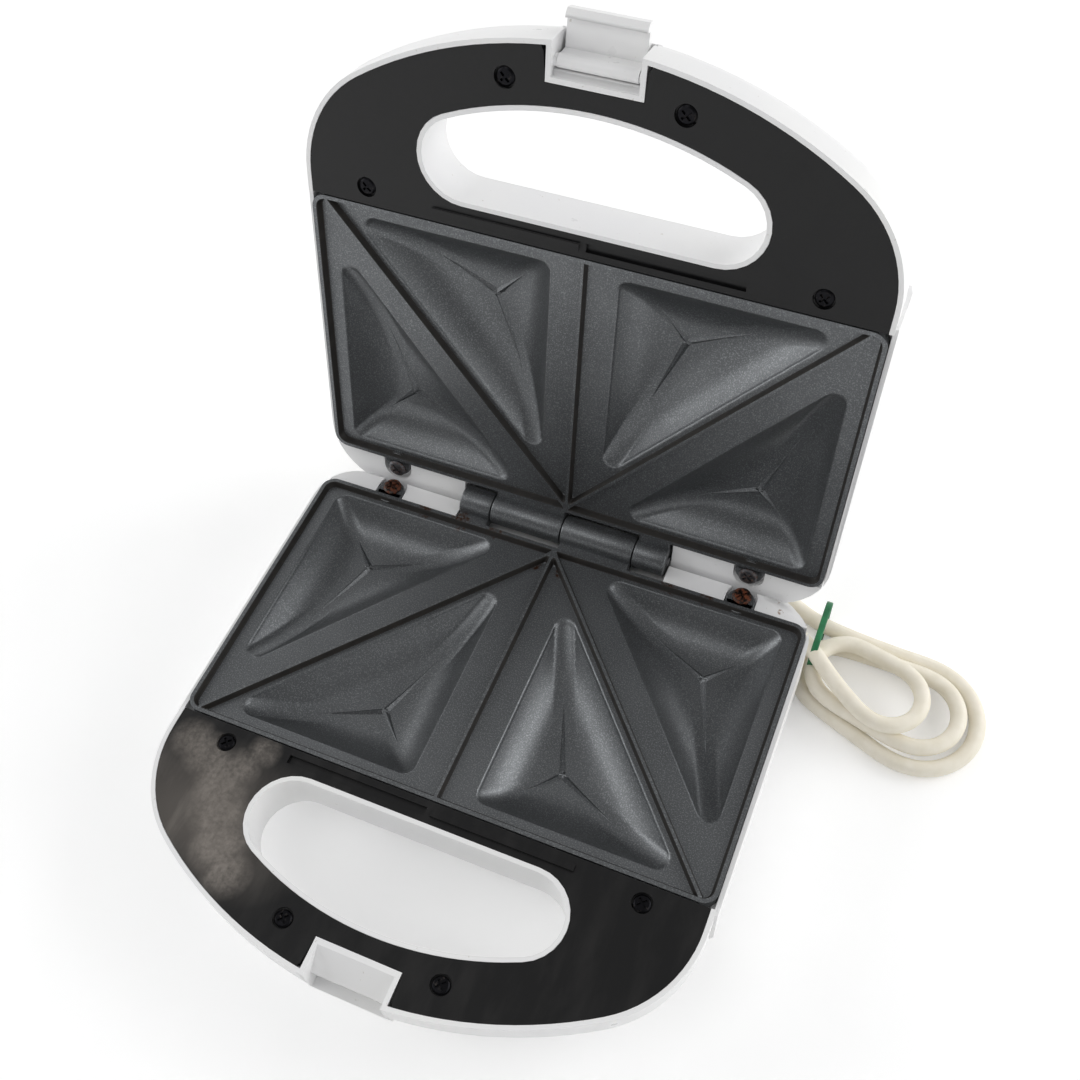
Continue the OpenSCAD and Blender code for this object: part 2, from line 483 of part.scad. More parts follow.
module lid_wiring() for (s = [-1, 1]) let (z = -body_h + wall) tube([[s * 12, lamp_y + 8.2, z + 6.3], [s * 12, lamp_y + 14, z + 6], [s * 12, -10, z + 6], [s * 11, element_y - 15, z + 6], [s * 10, element_y + 3, z + 8.5], [s * 10, element_y + 10, z + 12.5], [s * 10, element_y + 10.5, element_z - 3.1], [s * 10, element_y + 7, element_z], [s * 10, element_y + 2, element_z]], 1.2, 8);
module cord_inner() translate([cord_x, cord_end, cord_z]) rotate([-90, 0, 0]) cylinder(d = cord_d, h = boot_y - cord_end, $fn = 48);
module cord_clamp() translate([cord_x, clamp_y, 0]) difference() {
    translate([0, 5, 0]) rotate([90, 0, 0]) linear_extrude(10) polygon([[-13.5, cord_z - 3.65], [-13.5, cord_z - 1], [-6, cord_z + 5.5], [6, cord_z + 5.5], [13.5, cord_z - 1], [13.5, cord_z - 3.65], [5, cord_z - 3.65], [5, cord_z + 1], [3.6, cord_z + 3.6], [-3.6, cord_z + 3.6], [-5, cord_z + 1], [-5, cord_z - 3.65]]);
    for (s = [-1, 1]) slab(-body_h, 0) translate([s * clamp_x, 0]) circle(r = 1.7, $fn = 32);
    for (s = [-1, 1]) slab(cord_z - 1, 0) translate([s * clamp_x, 0]) circle(r = 3.3, $fn = 32);
}
module cord_clamp_screws() for (s = [-1, 1]) translate([cord_x + s * clamp_x, clamp_y, cord_z - 1]) cross_screw(3, 1.6, 1.4, 8);
module strain_relief() difference() {
    translate([cord_x, 0, cord_z]) rotate([-90, 0, 0]) rotate_extrude($fn = 60) polygon([[0, boot_in - 2.2], [7, boot_in - 2.2], [7, boot_in - gap], [4.9, boot_in - gap], [4.9, body_back + gap], [7.6, body_back + gap], [7.6, body_back + 2], [6.6, body_back + 3], [5, boot_y - 0.6], [4.6, boot_y], [0, boot_y]]);
    translate([cord_x, body_back - 20, cord_z]) rotate([-90, 0, 0]) cylinder(d = cord_d + 0.04, h = 40, $fn = 48);
}
module foot() rotate_extrude($fn = 60) polygon([[0, -foot_h], [foot_d / 2 - 1, -foot_h], [foot_d / 2, -foot_h + 1], [foot_d / 2, 0], [2.45, 0], [2.45, wall + 0.15], [3.1, wall + 0.25], [2.2, wall + 2], [0, wall + 2]]);
module lens() rotate_extrude($fn = 60) polygon([[0, wall + 1.2], [6, wall + 1.2], [6, wall + 0.15], [4.5, wall + 0.15], [4.5, -0.3], [3.6, -1.1], [2, -1.5], [0, -1.6]]);
module lamps() for (s = [-1, 1]) translate([s * lamp_x, lamp_y, -body_h + wall + 1.5]) cylinder(r = 2.6, h = 5.2, $fn = 40);
module lamp_holder() translate([0, lamp_y, 0]) difference() {
    slab(-body_h + wall + 5.15, -body_h + wall + 8) translate([-30, -8]) square([60, 16]);
    for (s = [-1, 1]) slab(-body_h, 0) translate([s * 26, 0]) circle(r = 1.5, $fn = 32);
    for (s = [-1, 1]) slab(-body_h, -body_h + wall + 6.85) translate([s * lamp_x, 0]) circle(r = 2.75, $fn = 40);
}

// ---------------------------------------------------------------- latch

// Clip in its latched place, then swung out by clip_swing.
module clip() translate([0, latch_y, latch_z]) rotate([clip_swing, 0, 0]) difference() {
    union() {
        rotate([0, 90, 0]) cylinder(d = barrel_d, h = clip_w, center = true, $fn = 48);
        bar(-clip_w / 2, clip_w / 2, [[0, -barrel_d / 2 + 0.5], [0, barrel_d / 2 - 0.5], [-clip_in, barrel_d / 2 + 0.4], [-clip_in, clip_reach - nose_t], [-clip_in + 2.2, clip_reach - nose_t], [-clip_in + 2.2, clip_reach - 1.8], [-clip_in + 0.8, clip_reach], [-clip_in - clip_t + 1, clip_reach], [-clip_in - clip_t, clip_reach - 1.2], [-clip_in - clip_t, 0], [-clip_in - clip_t + 1.2, -barrel_d / 2 + 0.5]]);
    }
    rotate([0, 90, 0]) cylinder(r = latch_pin_d / 2 + run, h = 40, center = true, $fn = 48);
}

// ---------------------------------------------------------------- cord and plug

// Loops of the hank, lying against the body's corner.
module hank_plan() difference() {
    hull() {
        translate([118, 84.5]) circle(r = 10, $fn = 32);
        translate([127, 67]) circle(r = 19.5, $fn = 32);
        translate([165, 62]) circle(r = 29, $fn = 48);
    }
    polygon(body_pts(-0.5));
}
// Inside of the tie, which the hank's neck fills.
module tie_core() translate([tie_x - 15, tie_y[0] + 1, floor_z + 1]) cube([30, tie_y[1] - tie_y[0] - 2, hank_h - 1.4]);
module hank() difference() {
    slab(floor_z, floor_z + hank_h) hank_plan();
    difference() {
        translate([tie_x - tie_w / 2 - 0.2, tie_y[0] - 0.2, floor_z - 1]) cube([tie_w + 0.4, 40, hank_h + 2]);
        tie_core();
    }
}
module tie() difference() {
    translate([tie_x - tie_w / 2, tie_y[0], floor_z]) cube([tie_w, tie_y[1] - tie_y[0], hank_h + 0.6]);
    tie_core();
}
module plug() translate([plug_x, plug_y, plug_z]) rotate([0, -90, 0]) difference() {
    rotate_extrude($fn = 60) polygon([[0, 0], [5.2, 0], [6.5, 12], [12, 18], [13.5, 26], [17, 32], [18.5, 34], [18.5, 50], [17.8, 51], [0, 51]]);
    for (s = [-1, 1]) translate([s * 21, 0, 42]) cube([10, 9, 19], center = true);
    for (s = [-1, 1]) translate([0, s * 9.5, 45]) cylinder(r = 2.42, h = 10, $fn = 40);
}
module pins() for (s = [-1, 1]) translate([plug_x - 45, plug_y + s * 9.5, plug_z]) rotate([0, -90, 0]) rotate_extrude($fn = 40) polygon([[0, 0], [2.4, 0], [2.4, 24], [1.4, 25], [0, 25]]);

// ---------------------------------------------------------------- sub-parts

white = [0.93, 0.93, 0.92];
black = [0.09, 0.09, 0.1];
alloy = [0.24, 0.24, 0.26];
steel = [0.7, 0.7, 0.72];
ivory = [0.9, 0.88, 0.82];

module base_shell() color(white) in_base() half_shell(false);
module base_handle_cover() color(black) in_base() cover();
module base_cover_screws() color(black) in_base() cover_screw_set();
module base_plate() color(alloy) in_base() plate(pin_d / 2);
module base_plate_screws() color([0.35, 0.25, 0.2]) in_base() plate_screw_set();
module base_element() color(steel) in_base() element();
module base_element_clamps() color(steel) in_base() at_clamps() clamp();
module base_clamp_screws() color(steel) in_base() at_clamps() clamp_screw();
module base_reflector() color(steel) in_base() reflector();
module thermostat_unit() color([0.85, 0.82, 0.75]) in_base() thermostat();
module thermal_fuse_unit() color([0.9, 0.9, 0.85]) in_base() thermal_fuse();
module terminal_block_unit() color([0.92, 0.9, 0.85]) in_base() terminal_block();
module base_wires() color([0.8, 0.75, 0.65]) in_base() base_wiring();
module cord_inner_end() color(ivory) in_base() cord_inner();
module cord_clamp_bar() color(black) in_base() cord_clamp();
module clamp_bar_screws() color(steel) in_base() cord_clamp_screws();
module cord_boot() color(ivory) in_base() strain_relief();
module rubber_feet() color([0.15, 0.15, 0.15]) in_base() for (f = feet) translate([f[0], f[1], -body_h]) foot();
module hinge_pin() color(steel) in_base() translate([0, hinge_y, 0]) rotate([0, 90, 0]) cylinder(d = pin_d, h = 2 * trough_x - 1, center = true, $fn = 48);
module lid_shell() color(white) in_lid() half_shell(true);
module lid_handle_cover() color(black) in_lid() cover();
module lid_cover_screws() color(black) in_lid() cover_screw_set();
module lid_plate() color(alloy) in_lid() plate(pin_d / 2 + run);
module lid_plate_screws() color(steel) in_lid() plate_screw_set();
module lid_element() color(steel) in_lid() element();
module lid_element_clamps() color(steel) in_lid() at_clamps() clamp();
module lid_clamp_screws() color(steel) in_lid() at_clamps() clamp_screw();
module lid_reflector() color(steel) in_lid() reflector();
module indicator_lamps() color([1, 0.8, 0.6]) in_lid() lamps();
module red_lens() color([0.8, 0.1, 0.1]) in_lid() translate([lamp_x, lamp_y, -body_h]) lens();
module green_lens() color([0.1, 0.7, 0.2]) in_lid() translate([-lamp_x, lamp_y, -body_h]) lens();
module lamp_carrier() color(white) in_lid() lamp_holder();
module lid_wires() color([0.8, 0.75, 0.65]) in_lid() lid_wiring();
module latch_pin() color(steel) in_lid() translate([0, latch_y, latch_z]) rotate([0, 90, 0]) cylinder(d = latch_pin_d, h = 2 * notch_x + 3.4, center = true, $fn = 40);
module latch_clip() color(white) in_lid() clip();
module mains_cord() color(ivory) in_base() {
    tube(cord_a, cord_d / 2, 10);
    tube(cord_b, cord_d / 2, 10);
}
module cord_hank() color(ivory) in_base() hank();
module cord_tie() color([0.1, 0.25, 0.18]) in_base() tie();
module mains_plug() color(ivory) in_base() plug();
module plug_pins() color(steel) in_base() pins();

base_shell();
base_handle_cover();
base_cover_screws();
base_plate();
base_plate_screws();
base_element();
base_element_clamps();
base_clamp_screws();
base_reflector();
thermostat_unit();  // thermostat
thermal_fuse_unit();  // thermal_fuse
terminal_block_unit();  // terminal_block
base_wires();  // base_wiring
cord_inner_end();  // cord_inner
cord_clamp_bar();  // cord_clamp
clamp_bar_screws();  // cord_clamp_screws
cord_boot();  // strain_relief
rubber_feet();
hinge_pin();
lid_shell();
lid_handle_cover();
lid_cover_screws();
lid_plate();
lid_plate_screws();
lid_element();
lid_element_clamps();
lid_clamp_screws();
lid_reflector();
indicator_lamps();
red_lens();
green_lens();
lamp_carrier();  // lamp_holder
lid_wires();  // lid_wiring
latch_pin();
latch_clip();
mains_cord();
cord_hank();
cord_tie();
mains_plug();
plug_pins();
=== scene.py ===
"""Sandwich toaster, open on a pale table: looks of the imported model.

Lengths are millimetres in a half's own frame, X right, Y back, Z up, with
z = 0 on the parting plane and the plate centred on x = y = 0.
"""
import json
import math

import bmesh
import bpy
import numpy as np
from mathutils import Matrix, Vector

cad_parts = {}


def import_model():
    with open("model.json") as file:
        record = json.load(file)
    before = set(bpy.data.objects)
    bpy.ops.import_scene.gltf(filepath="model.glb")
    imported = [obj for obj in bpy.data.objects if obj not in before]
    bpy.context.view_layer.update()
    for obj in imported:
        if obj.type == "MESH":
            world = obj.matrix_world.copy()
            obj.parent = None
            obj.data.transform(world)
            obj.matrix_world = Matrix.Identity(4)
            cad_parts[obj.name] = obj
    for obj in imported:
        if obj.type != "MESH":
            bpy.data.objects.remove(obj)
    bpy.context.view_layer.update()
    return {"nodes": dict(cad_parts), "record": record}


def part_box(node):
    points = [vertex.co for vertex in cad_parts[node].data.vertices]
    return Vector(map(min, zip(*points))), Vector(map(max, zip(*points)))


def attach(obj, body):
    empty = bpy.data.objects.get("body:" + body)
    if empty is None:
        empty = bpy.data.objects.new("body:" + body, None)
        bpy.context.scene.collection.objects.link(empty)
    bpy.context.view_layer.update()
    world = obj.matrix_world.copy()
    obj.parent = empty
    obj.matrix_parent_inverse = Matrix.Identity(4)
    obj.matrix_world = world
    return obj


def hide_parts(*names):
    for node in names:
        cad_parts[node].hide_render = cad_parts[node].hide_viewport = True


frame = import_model()

# ------------------------------------------------------------------ sizes
MM = 0.001
FLOOR_Z = -46.0          # table under the feet
SHIFT_Y = -0.8           # half's frame to the part's origin
HINGE_Y = 72.0
OPEN_ANGLE = 103.0

PLATE_X = 112.0          # half width of the plate
PLATE_Y = 62.0           # half depth of the plate
PLATE_R = 6.0            # corner radius
TOP_Z = -0.15            # top of lip and ridges
FIELD_Z = -3.0           # flat field between them
SLAB_Z = -6.15           # underside of the casting
PLATE_WALL = 2.2         # wall under a pocket
LIP_TOP = 1.6            # width of the flat on the lip, and of its slope
LIP_SLOPE = 1.2
EASE = 0.2               # share of a slope that is rounded at its top and at its foot
RIDGE_HALF = 0.6         # half width of a ridge at its top, and at its foot
RIDGE_FOOT = 1.5
RIDGE_SHARE = 0.97       # height of a ridge as a share of the lip's
RIDGE_FILL = 2.0         # filling where ridges meet
RIDGE_ENDS = [((0, 57), (0, -62)), ((0, 60), (106, -60)), ((0, 60), (-106, -60))]
POCKET_DEPTH = 11.5
BOWL_POWER = 2.6         # how soon a pocket's wall eases into its floor
CORNER_R = 4.7           # radius of a pocket's corners, the same at every level
RIM = 0.8                # rounding along a pocket's edge, on either side of it
RIM_CUTS = (-0.8, -0.2, 0.4, 0.9)   # the mesh is cut this far inside the edge
BOWL_SHIFT = 0.25        # the bowl's own curve starts this far outside the edge
SPINE_HALF = 1.4         # half width of a pocket's rib where the three meet
SPINE_HEIGHT = 1.3
SPINE_REACH = 0.46       # length of a rib as a share of the way to its corner
BACK_POCKET = [(103.3, 57.0), (22.5, 57.0), (103.3, -39.3)]
FRONT_POCKET = [(96.8, -55.3), (13.4, 39.6), (13.4, -55.3)]
CUT_NEAR = 2.5           # a short cut takes the faces this near to it
CUT_SNAP = 0.02          # and the vertices this near to its line
UPWARD = 0.05            # upward share of a face's normal from which it belongs to the top
STEEP = 0.8              # and up to which it is a steep side
SHOULDER = 0.35          # rounding of the casting's upper edge
DRAFT = 0.4              # its lower edge lies this far in
TAB_X, TAB_Y, TAB_R, TAB_Z = 81.9, 67.4, 6.2, -1.75
TAB_THICK = 3.0
TAB_SHORT = 2.2          # the tab's round end stops this far before its screw's line
LUG_X = 60.0             # lugs at the casting's front edge
LUG_HALF = 8.0
KNUCKLE_R = 6.75
KNUCKLE_BORE_R = 2.05
KNUCKLES = [(-47.5, -33.2), (0.2, 32.8)]
CORD_D = 7.0
TIE_WIDE = 2.8           # wire tie: flat strip
TIE_THICK = 0.9
TIE_BEND = 7.0           # radius of its upper corners, and of its lower ones
TIE_LOW_BEND = 3.0
TIE_SQUARE = 0.6         # power that squares up the strip's oval section

# light: strength of the room's walls and ceiling; lamps by direction, size in metres and radiance
WALL_LIGHT = 1.02
CEILING_LIGHT = 0.47
CEILING_FROM = (0.5, 0.85)      # heights between which walls turn into ceiling
FRONT_SHARE = 0.2        # light from the front, as a share of the light from the back
FRONT_TO_BACK = (-0.8, 0.3)
HORIZON = (0.15, 0.25)   # plain white below, room above
TABLE_GLOW = (0.2, 0.5)  # how far the table is lifted to white, near and far
GLOW_REACH = (0.5, 1.5)  # metres
LAMP_DISTANCE = 1.6
LAMPS = [
    ("left lamp", (-0.94, -0.13, 0.42), 1.0, 2.3),
    ("back lamp", (0.77, 0.5, 0.5), 1.0, 2.3),
    ("front lamp", (-0.26, -0.36, 0.9), 0.7, 2.0),
    ("right lamp", (0.9, -0.1, 0.42), 0.8, 1.6),
]


def in_base():
    return Matrix.Translation((0, SHIFT_Y, -FLOOR_Z))


def in_lid():
    hinge = Matrix.Translation((0, HINGE_Y, 0))
    opened = Matrix.Rotation(-math.radians(OPEN_ANGLE), 4, "X")
    turned = Matrix.Rotation(math.pi, 4, "Y")
    return in_base() @ hinge @ opened @ hinge.inverted() @ turned


HALVES = {"base": in_base(), "lid": in_lid()}


def world(point, half="base"):
    return HALVES[half] @ Vector(point) * MM


# ----------------------------------------------------------------- camera
def make_camera():
    data = bpy.data.cameras.new("camera")
    data.sensor_fit = "HORIZONTAL"
    data.sensor_width = 36.0
    data.lens = 41.27
    data.clip_start = 0.01
    camera = bpy.data.objects.new("camera", data)
    right = Vector((0.92216, 0.38324, -0.05235))
    up = Vector((-0.29048, 0.77551, 0.56054))
    forward = Vector((-0.25542, 0.50170, -0.82647))
    place = Vector((0.12943, -0.20718, 0.49003))
    camera.matrix_world = Matrix((
        (right.x, up.x, -forward.x, place.x),
        (right.y, up.y, -forward.y, place.y),
        (right.z, up.z, -forward.z, place.z),
        (0, 0, 0, 1),
    ))
    bpy.context.scene.collection.objects.link(camera)
    bpy.context.scene.camera = camera


make_camera()


# ------------------------------------------------------------------- cord
# Route from the boot to the hank, and from the hank to the plug.
CORD_OUT = [
    (20, 92, -26.5), (20, 98, -26.5), (21, 105, -29), (24.5, 112, -33.5),
    (31.5, 117.5, -38.5), (41, 119, -41.8), (53, 116.8, -42.4), (65, 111.5, -42.4),
    (78, 106.5, -42.4), (90, 101.3, -42.4), (101, 96.5, -42.4), (110, 92.3, -42.4),
    (119, 90.2, -42.4), (131, 88.8, -42.4), (143, 88, -42.4), (154, 87.3, -42.4),
]
# Folds of the hank: centre, radius, first and last angle, first and last height.
FOLDS = [
    (165, 62, 25.6, 82, -102, -42.4, -42.4),
    (127, 66.5, 15.8, -112, -268, -42.4, -42.2),
    (163.5, 61.8, 18.3, 84, -102, -39.0, -37.2),
    (132.5, 66.2, 15.6, -114, -266, -35.0, -34.8),
    (149.5, 61, 15.8, 84, -106, -33.2, -29.6),
]
CORD_IN = [
    (136, 51, -28.2), (127.5, 57, -27.4), (120, 64, -27.4), (113.2, 70.6, -28.6),
    (106.2, 77.4, -33.5), (98.8, 81.8, -39), (90.5, 84.9, -41.8), (80, 87.6, -42.4),
    (68, 89, -42.4), (56, 89.3, -42.4), (44, 89.2, -42.4), (32, 89, -42.4),
    (20, 89, -42.4), (8, 90.6, -42.4), (-3, 94.3, -42.3), (-12, 100, -41.2),
    (-20, 107, -38), (-28, 113.5, -33), (-35, 118, -29.3), (-41, 120, -27.5),
    (-45, 120, -27.5),
]


def fold_points(x, y, r, first, last, low, high, count=7):
    """Points along one arc of the hank."""
    points = []
    for i in range(count):
        t = i / (count - 1)
        a = math.radians(first + (last - first) * t)
        points.append((x + r * math.cos(a), y + r * math.sin(a), low + (high - low) * t))
    return points


def cord_route():
    """All points, with two more on each straight between folds."""
    route = list(CORD_OUT)
    for number, fold in enumerate(FOLDS):
        turn = fold_points(*fold)
        if number:
            start, end = Vector(route[-1]), Vector(turn[0])
            route += [tuple(start.lerp(end, t)) for t in (1 / 3, 2 / 3)]
        route += turn
    return route + CORD_IN


def make_cord():
    data = bpy.data.curves.new("cord", "CURVE")
    data.dimensions = "3D"
    data.bevel_depth = 1.0               # the radius is each knot's own
    data.bevel_resolution = 6
    data.resolution_u = 5
    data.use_fill_caps = True
    spline = data.splines.new("NURBS")
    route = cord_route()
    spline.points.add(len(route) - 1)
    for knot, point in zip(spline.points, route):
        knot.co = (*world(point), 1.0)
        knot.radius = CORD_D / 2 * MM
    spline.order_u = 4
    spline.use_endpoint_u = True
    cord = bpy.data.objects.new("cord", data)
    bpy.context.scene.collection.objects.link(cord)
    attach(cord, "base")
    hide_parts("mains_cord", "cord_hank")
    return cord


cord = make_cord()


# -------------------------------------------------------------- materials
def linear(code):
    """sRGB hex such as 'E8E8E6' to linear RGBA."""
    channels = [int(code[i:i + 2], 16) / 255 for i in (0, 2, 4)]
    return tuple(c / 12.92 if c <= 0.04045 else ((c + 0.055) / 1.055) ** 2.4 for c in channels) + (1.0,)


def add(tree, kind, inputs=None, **settings):
    """Add one node, with its settings and the values or links of its inputs."""
    node = tree.nodes.new(kind)
    for name, value in settings.items():
        setattr(node, name, value)
    for name, value in (inputs or {}).items():
        if isinstance(value, bpy.types.NodeSocket):
            tree.links.new(value, node.inputs[name])
        else:
            node.inputs[name].default_value = value
    return node


def graded(tree, factor, *stops):
    """Colour ramp: each stop is a position with an sRGB hex or a grey value."""
    node = add(tree, "ShaderNodeValToRGB", {"Fac": factor})
    for element, (position, value) in zip(node.color_ramp.elements, stops):
        element.position = position
        element.color = linear(value) if isinstance(value, str) else (value, value, value, 1.0)
    return node.outputs["Color"]


def remap(tree, value, low, high, start=0.0, end=1.0):
    """Value carried from start..end to low..high, and held at both ends."""
    inputs = {"Value": value, "From Min": start, "From Max": end, "To Min": low, "To Max": high}
    return add(tree, "ShaderNodeMapRange", inputs).outputs["Result"]


def maths(tree, operation, first, second, **settings):
    node = add(tree, "ShaderNodeMath", {0: first, 1: second}, operation=operation, **settings)
    return node.outputs["Value"]


def blank(name):
    """New material: its tree, its shader and its object coordinates."""
    material = bpy.data.materials.new(name)
    material.use_nodes = True
    tree = material.node_tree
    tree.nodes.clear()
    shader = add(tree, "ShaderNodeBsdfPrincipled")
    add(tree, "ShaderNodeOutputMaterial", {"Surface": shader.outputs["BSDF"]})
    place = add(tree, "ShaderNodeTexCoord").outputs["Object"]
    return material, tree, shader, place


def noise(tree, place, size_mm, detail=3.0, roughness=0.5):
    """Noise whose grains are about size_mm across."""
    inputs = {"Vector": place, "Scale": 1.0 / (size_mm * MM), "Detail": detail, "Roughness": roughness}
    return add(tree, "ShaderNodeTexNoise", inputs).outputs["Fac"]


def mixed(tree, factor, first, second):
    """Colour mixed from first to second by factor; each is a socket or an sRGB hex."""
    node = add(tree, "ShaderNodeMix", data_type="RGBA")
    for index, value in ((0, factor), (6, first), (7, second)):
        if isinstance(value, bpy.types.NodeSocket):
            tree.links.new(value, node.inputs[index])
        else:
            node.inputs[index].default_value = linear(value) if isinstance(value, str) else value
    return node.outputs[2]


def bumped(tree, shader, height, depth_mm, normal=None):
    """Bump of the given depth on the shader, on top of normal where given."""
    inputs = {"Height": height, "Distance": depth_mm * MM, "Strength": 1.0}
    if normal is not None:
        inputs["Normal"] = normal
    node = add(tree, "ShaderNodeBump", inputs)
    tree.links.new(node.outputs["Normal"], shader.inputs["Normal"])
    return node.outputs["Normal"]


def spots(tree, place, places):
    """Mask of soft round spots on the base, each a point and its radius, broken up by noise."""
    total = None
    for point, radius in places:
        inputs = {0: place, 1: tuple(world(point))}
        away = add(tree, "ShaderNodeVectorMath", inputs, operation="DISTANCE").outputs["Value"]
        spot = remap(tree, away, 1.0, 0.0, radius * 0.4 * MM, radius * MM)
        total = spot if total is None else maths(tree, "MAXIMUM", total, spot)
    return maths(tree, "MULTIPLY", total, noise(tree, place, 1.5, 4))


def gloss_housing():
    """Injection-moulded white ABS: an even gloss from a polished tool, with specks of dirt."""
    material, tree, shader, place = blank("gloss white ABS")
    body = graded(tree, noise(tree, place, 45, 4), (0.35, "ECECED"), (0.7, "F1F1F0"))
    dirt = graded(tree, noise(tree, place, 1.6, 2), (0.72, 0.0), (0.78, 0.5))
    body = mixed(tree, dirt, body, "B9B2A6")
    crumbs = spots(tree, place, CRUMBS)
    crumbs = graded(tree, crumbs, (0.42, 0.0), (0.6, 0.8))
    tree.links.new(mixed(tree, crumbs, body, "8A6238"), shader.inputs["Base Color"])
    tree.links.new(remap(tree, noise(tree, place, 12, 4), 0.24, 0.36), shader.inputs["Roughness"])
    shader.inputs["IOR"].default_value = 1.53
    bumped(tree, shader, noise(tree, place, 12, 2), 0.01)
    return material


def satin_cover(name, wear_sheen):
    """Black PBT from a finely etched tool: satin, with scuffs; on the base's, a rubbed patch with a pale
    sheen painted into its colour.
    """
    material, tree, shader, place = blank(name)
    inputs = {"Vector": place, "Rotation": (0, 0, 0.5), "Scale": (1.0, 0.25, 1.0)}
    streaks = add(tree, "ShaderNodeMapping", inputs).outputs["Vector"]
    scuff = graded(tree, noise(tree, streaks, 9, 6, 0.65), (0.45, 0.0), (0.75, 1.0))
    body = mixed(tree, scuff, "0E0E0F", "1B1A1A" if wear_sheen else "161617")
    if wear_sheen:
        # painted sheen: the rubbed patch is lightened to a pale beige grey
        body = mixed(tree, wear_and_sheen_area(tree, place, scuff), body, "8E8780")
    tree.links.new(body, shader.inputs["Base Color"])
    tree.links.new(remap(tree, scuff, 0.34, 0.5), shader.inputs["Roughness"])
    shader.inputs["IOR"].default_value = 1.38
    grain = bumped(tree, shader, noise(tree, place, 0.5, 2), 0.006)
    bumped(tree, shader, noise(tree, place, 3.0, 3), 0.01, grain)
    return material


def wear_and_sheen_area(tree, place, scuff):
    """Mask of the rubbed left end of the base handle, where a sheen is painted: grey all over, palest along
    a forked stroke of painted reflection.
    """
    inputs = {0: place, 1: tuple(world(WEAR_SHEEN_CENTRE))}
    away = add(tree, "ShaderNodeVectorMath", inputs, operation="SUBTRACT").outputs["Vector"]
    inputs = {"Vector": away, "Rotation": (0, 0, WEAR_SHEEN_TURN), "Scale": WEAR_SHEEN_SCALE}
    oval = add(tree, "ShaderNodeMapping", inputs).outputs["Vector"]
    distance = add(tree, "ShaderNodeVectorMath", {0: oval}, operation="LENGTH").outputs["Value"]
    grey = remap(tree, distance, 0.5, 0.0, 0.3, 1.3)
    pale = maths(tree, "ADD", grey, spots(tree, place, WEAR_SHEEN_STROKE))
    return maths(tree, "MULTIPLY", pale, remap(tree, scuff, 0.6, 1.0), use_clamp=True)


def coated_casting():
    """Die-cast aluminium under a baked PTFE coat: dark grey, fine metallic fleck, soft sheen."""
    material, tree, shader, place = blank("non-stick coated aluminium")
    body = graded(tree, noise(tree, place, 30, 4), (0.3, "5C5E60"), (0.7, "66686A"))
    fleck = graded(tree, noise(tree, place, 0.5, 1), (0.5, 0.0), (0.72, 1.0))
    body = mixed(tree, fleck, body, "838688")
    stain = graded(tree, spots(tree, place, RESIDUE), (0.35, 0.0), (0.65, 1.0))
    tree.links.new(mixed(tree, stain, body, "4A2C17"), shader.inputs["Base Color"])
    tree.links.new(remap(tree, noise(tree, place, 8, 5), 0.34, 0.42), shader.inputs["Roughness"])
    shader.inputs["Metallic"].default_value = 0.75
    shader.inputs["IOR"].default_value = 1.5
    bumped(tree, shader, noise(tree, place, 0.5, 2), 0.01)
    return material


def screw_steel(name, clean, rust, share):
    """Turned steel screw, with patches of rust that cover about the share given."""
    material, tree, shader, place = blank(name)
    start = 0.62 - share * 0.4
    patch = graded(tree, noise(tree, place, 1.4, 5, 0.6), (start, 0.0), (start + 0.16, 1.0))
    tree.links.new(mixed(tree, patch, clean, rust), shader.inputs["Base Color"])
    tree.links.new(remap(tree, patch, 0.32, 0.8), shader.inputs["Roughness"])
    tree.links.new(remap(tree, patch, 0.9, 0.1), shader.inputs["Metallic"])
    bumped(tree, shader, noise(tree, place, 0.4, 3), 0.02)
    return material


def plain_finish(name, dark, light, roughness, metallic=0.0, ior=1.5, grain_mm=1.0, depth_mm=0.01):
    """Even finish of one colour that varies slightly, with a fine grain."""
    material, tree, shader, place = blank(name)
    body = graded(tree, noise(tree, place, grain_mm * 8, 4), (0.3, dark), (0.7, light))
    tree.links.new(body, shader.inputs["Base Color"])
    rough = remap(tree, noise(tree, place, grain_mm * 3, 3), roughness - 0.06, roughness + 0.06)
    tree.links.new(rough, shader.inputs["Roughness"])
    shader.inputs["Metallic"].default_value = metallic
    if not metallic:
        shader.inputs["IOR"].default_value = ior
    bumped(tree, shader, noise(tree, place, grain_mm, 2), depth_mm)
    return material


def clear_lens(name, dark, light):
    """Injection-moulded clear polystyrene dyed in the mass, over a small bulb."""
    material, tree, shader, place = blank(name)
    body = graded(tree, noise(tree, place, 3, 2), (0.3, dark), (0.7, light))
    tree.links.new(body, shader.inputs["Base Color"])
    shader.inputs["Roughness"].default_value = 0.12
    shader.inputs["IOR"].default_value = 1.59
    shader.inputs["Transmission Weight"].default_value = 0.55
    bumped(tree, shader, noise(tree, place, 1.2, 1), 0.01)
    return material


# Spots on the base: a point and its radius.
CRUMBS = [((99, 66, -2), 2.6), ((97, 70, -2), 1.6), ((78, 75, -3), 2.2), ((88, 74, -3), 1.5)]
# Baked fat: back corners of the middle ridge, a spot on it, and along the back lip.
RESIDUE = [
    ((-5.5, 52, -3), 4.5), ((6, 52, -3), 4.5), ((0.5, -38, -3), 1.8), ((-62, 61, -1), 7.0),
    ((-45, 61, -1), 8.0), ((-28, 61, -1), 6.0), ((52, 61, -1), 7.0), ((68, 61, -1), 6.0),
]
# Rubbed patch with a painted sheen: its oval, and the forked stroke of painted reflection in it.
WEAR_SHEEN_CENTRE = (-82, -100, 0)
WEAR_SHEEN_TURN = 0.93
WEAR_SHEEN_SCALE = (24.0, 38.0, 1.0)
WEAR_SHEEN_STROKE = [
    ((-101, -73, 0), 10), ((-92, -77, 0), 11), ((-83, -82, 0), 12), ((-79, -89, 0), 12),
    ((-75, -97, 0), 13), ((-76, -77, 0), 9), ((-71, -68, 0), 8), ((-68, -108, 0), 13),
    ((-60, -116, 0), 11),
]

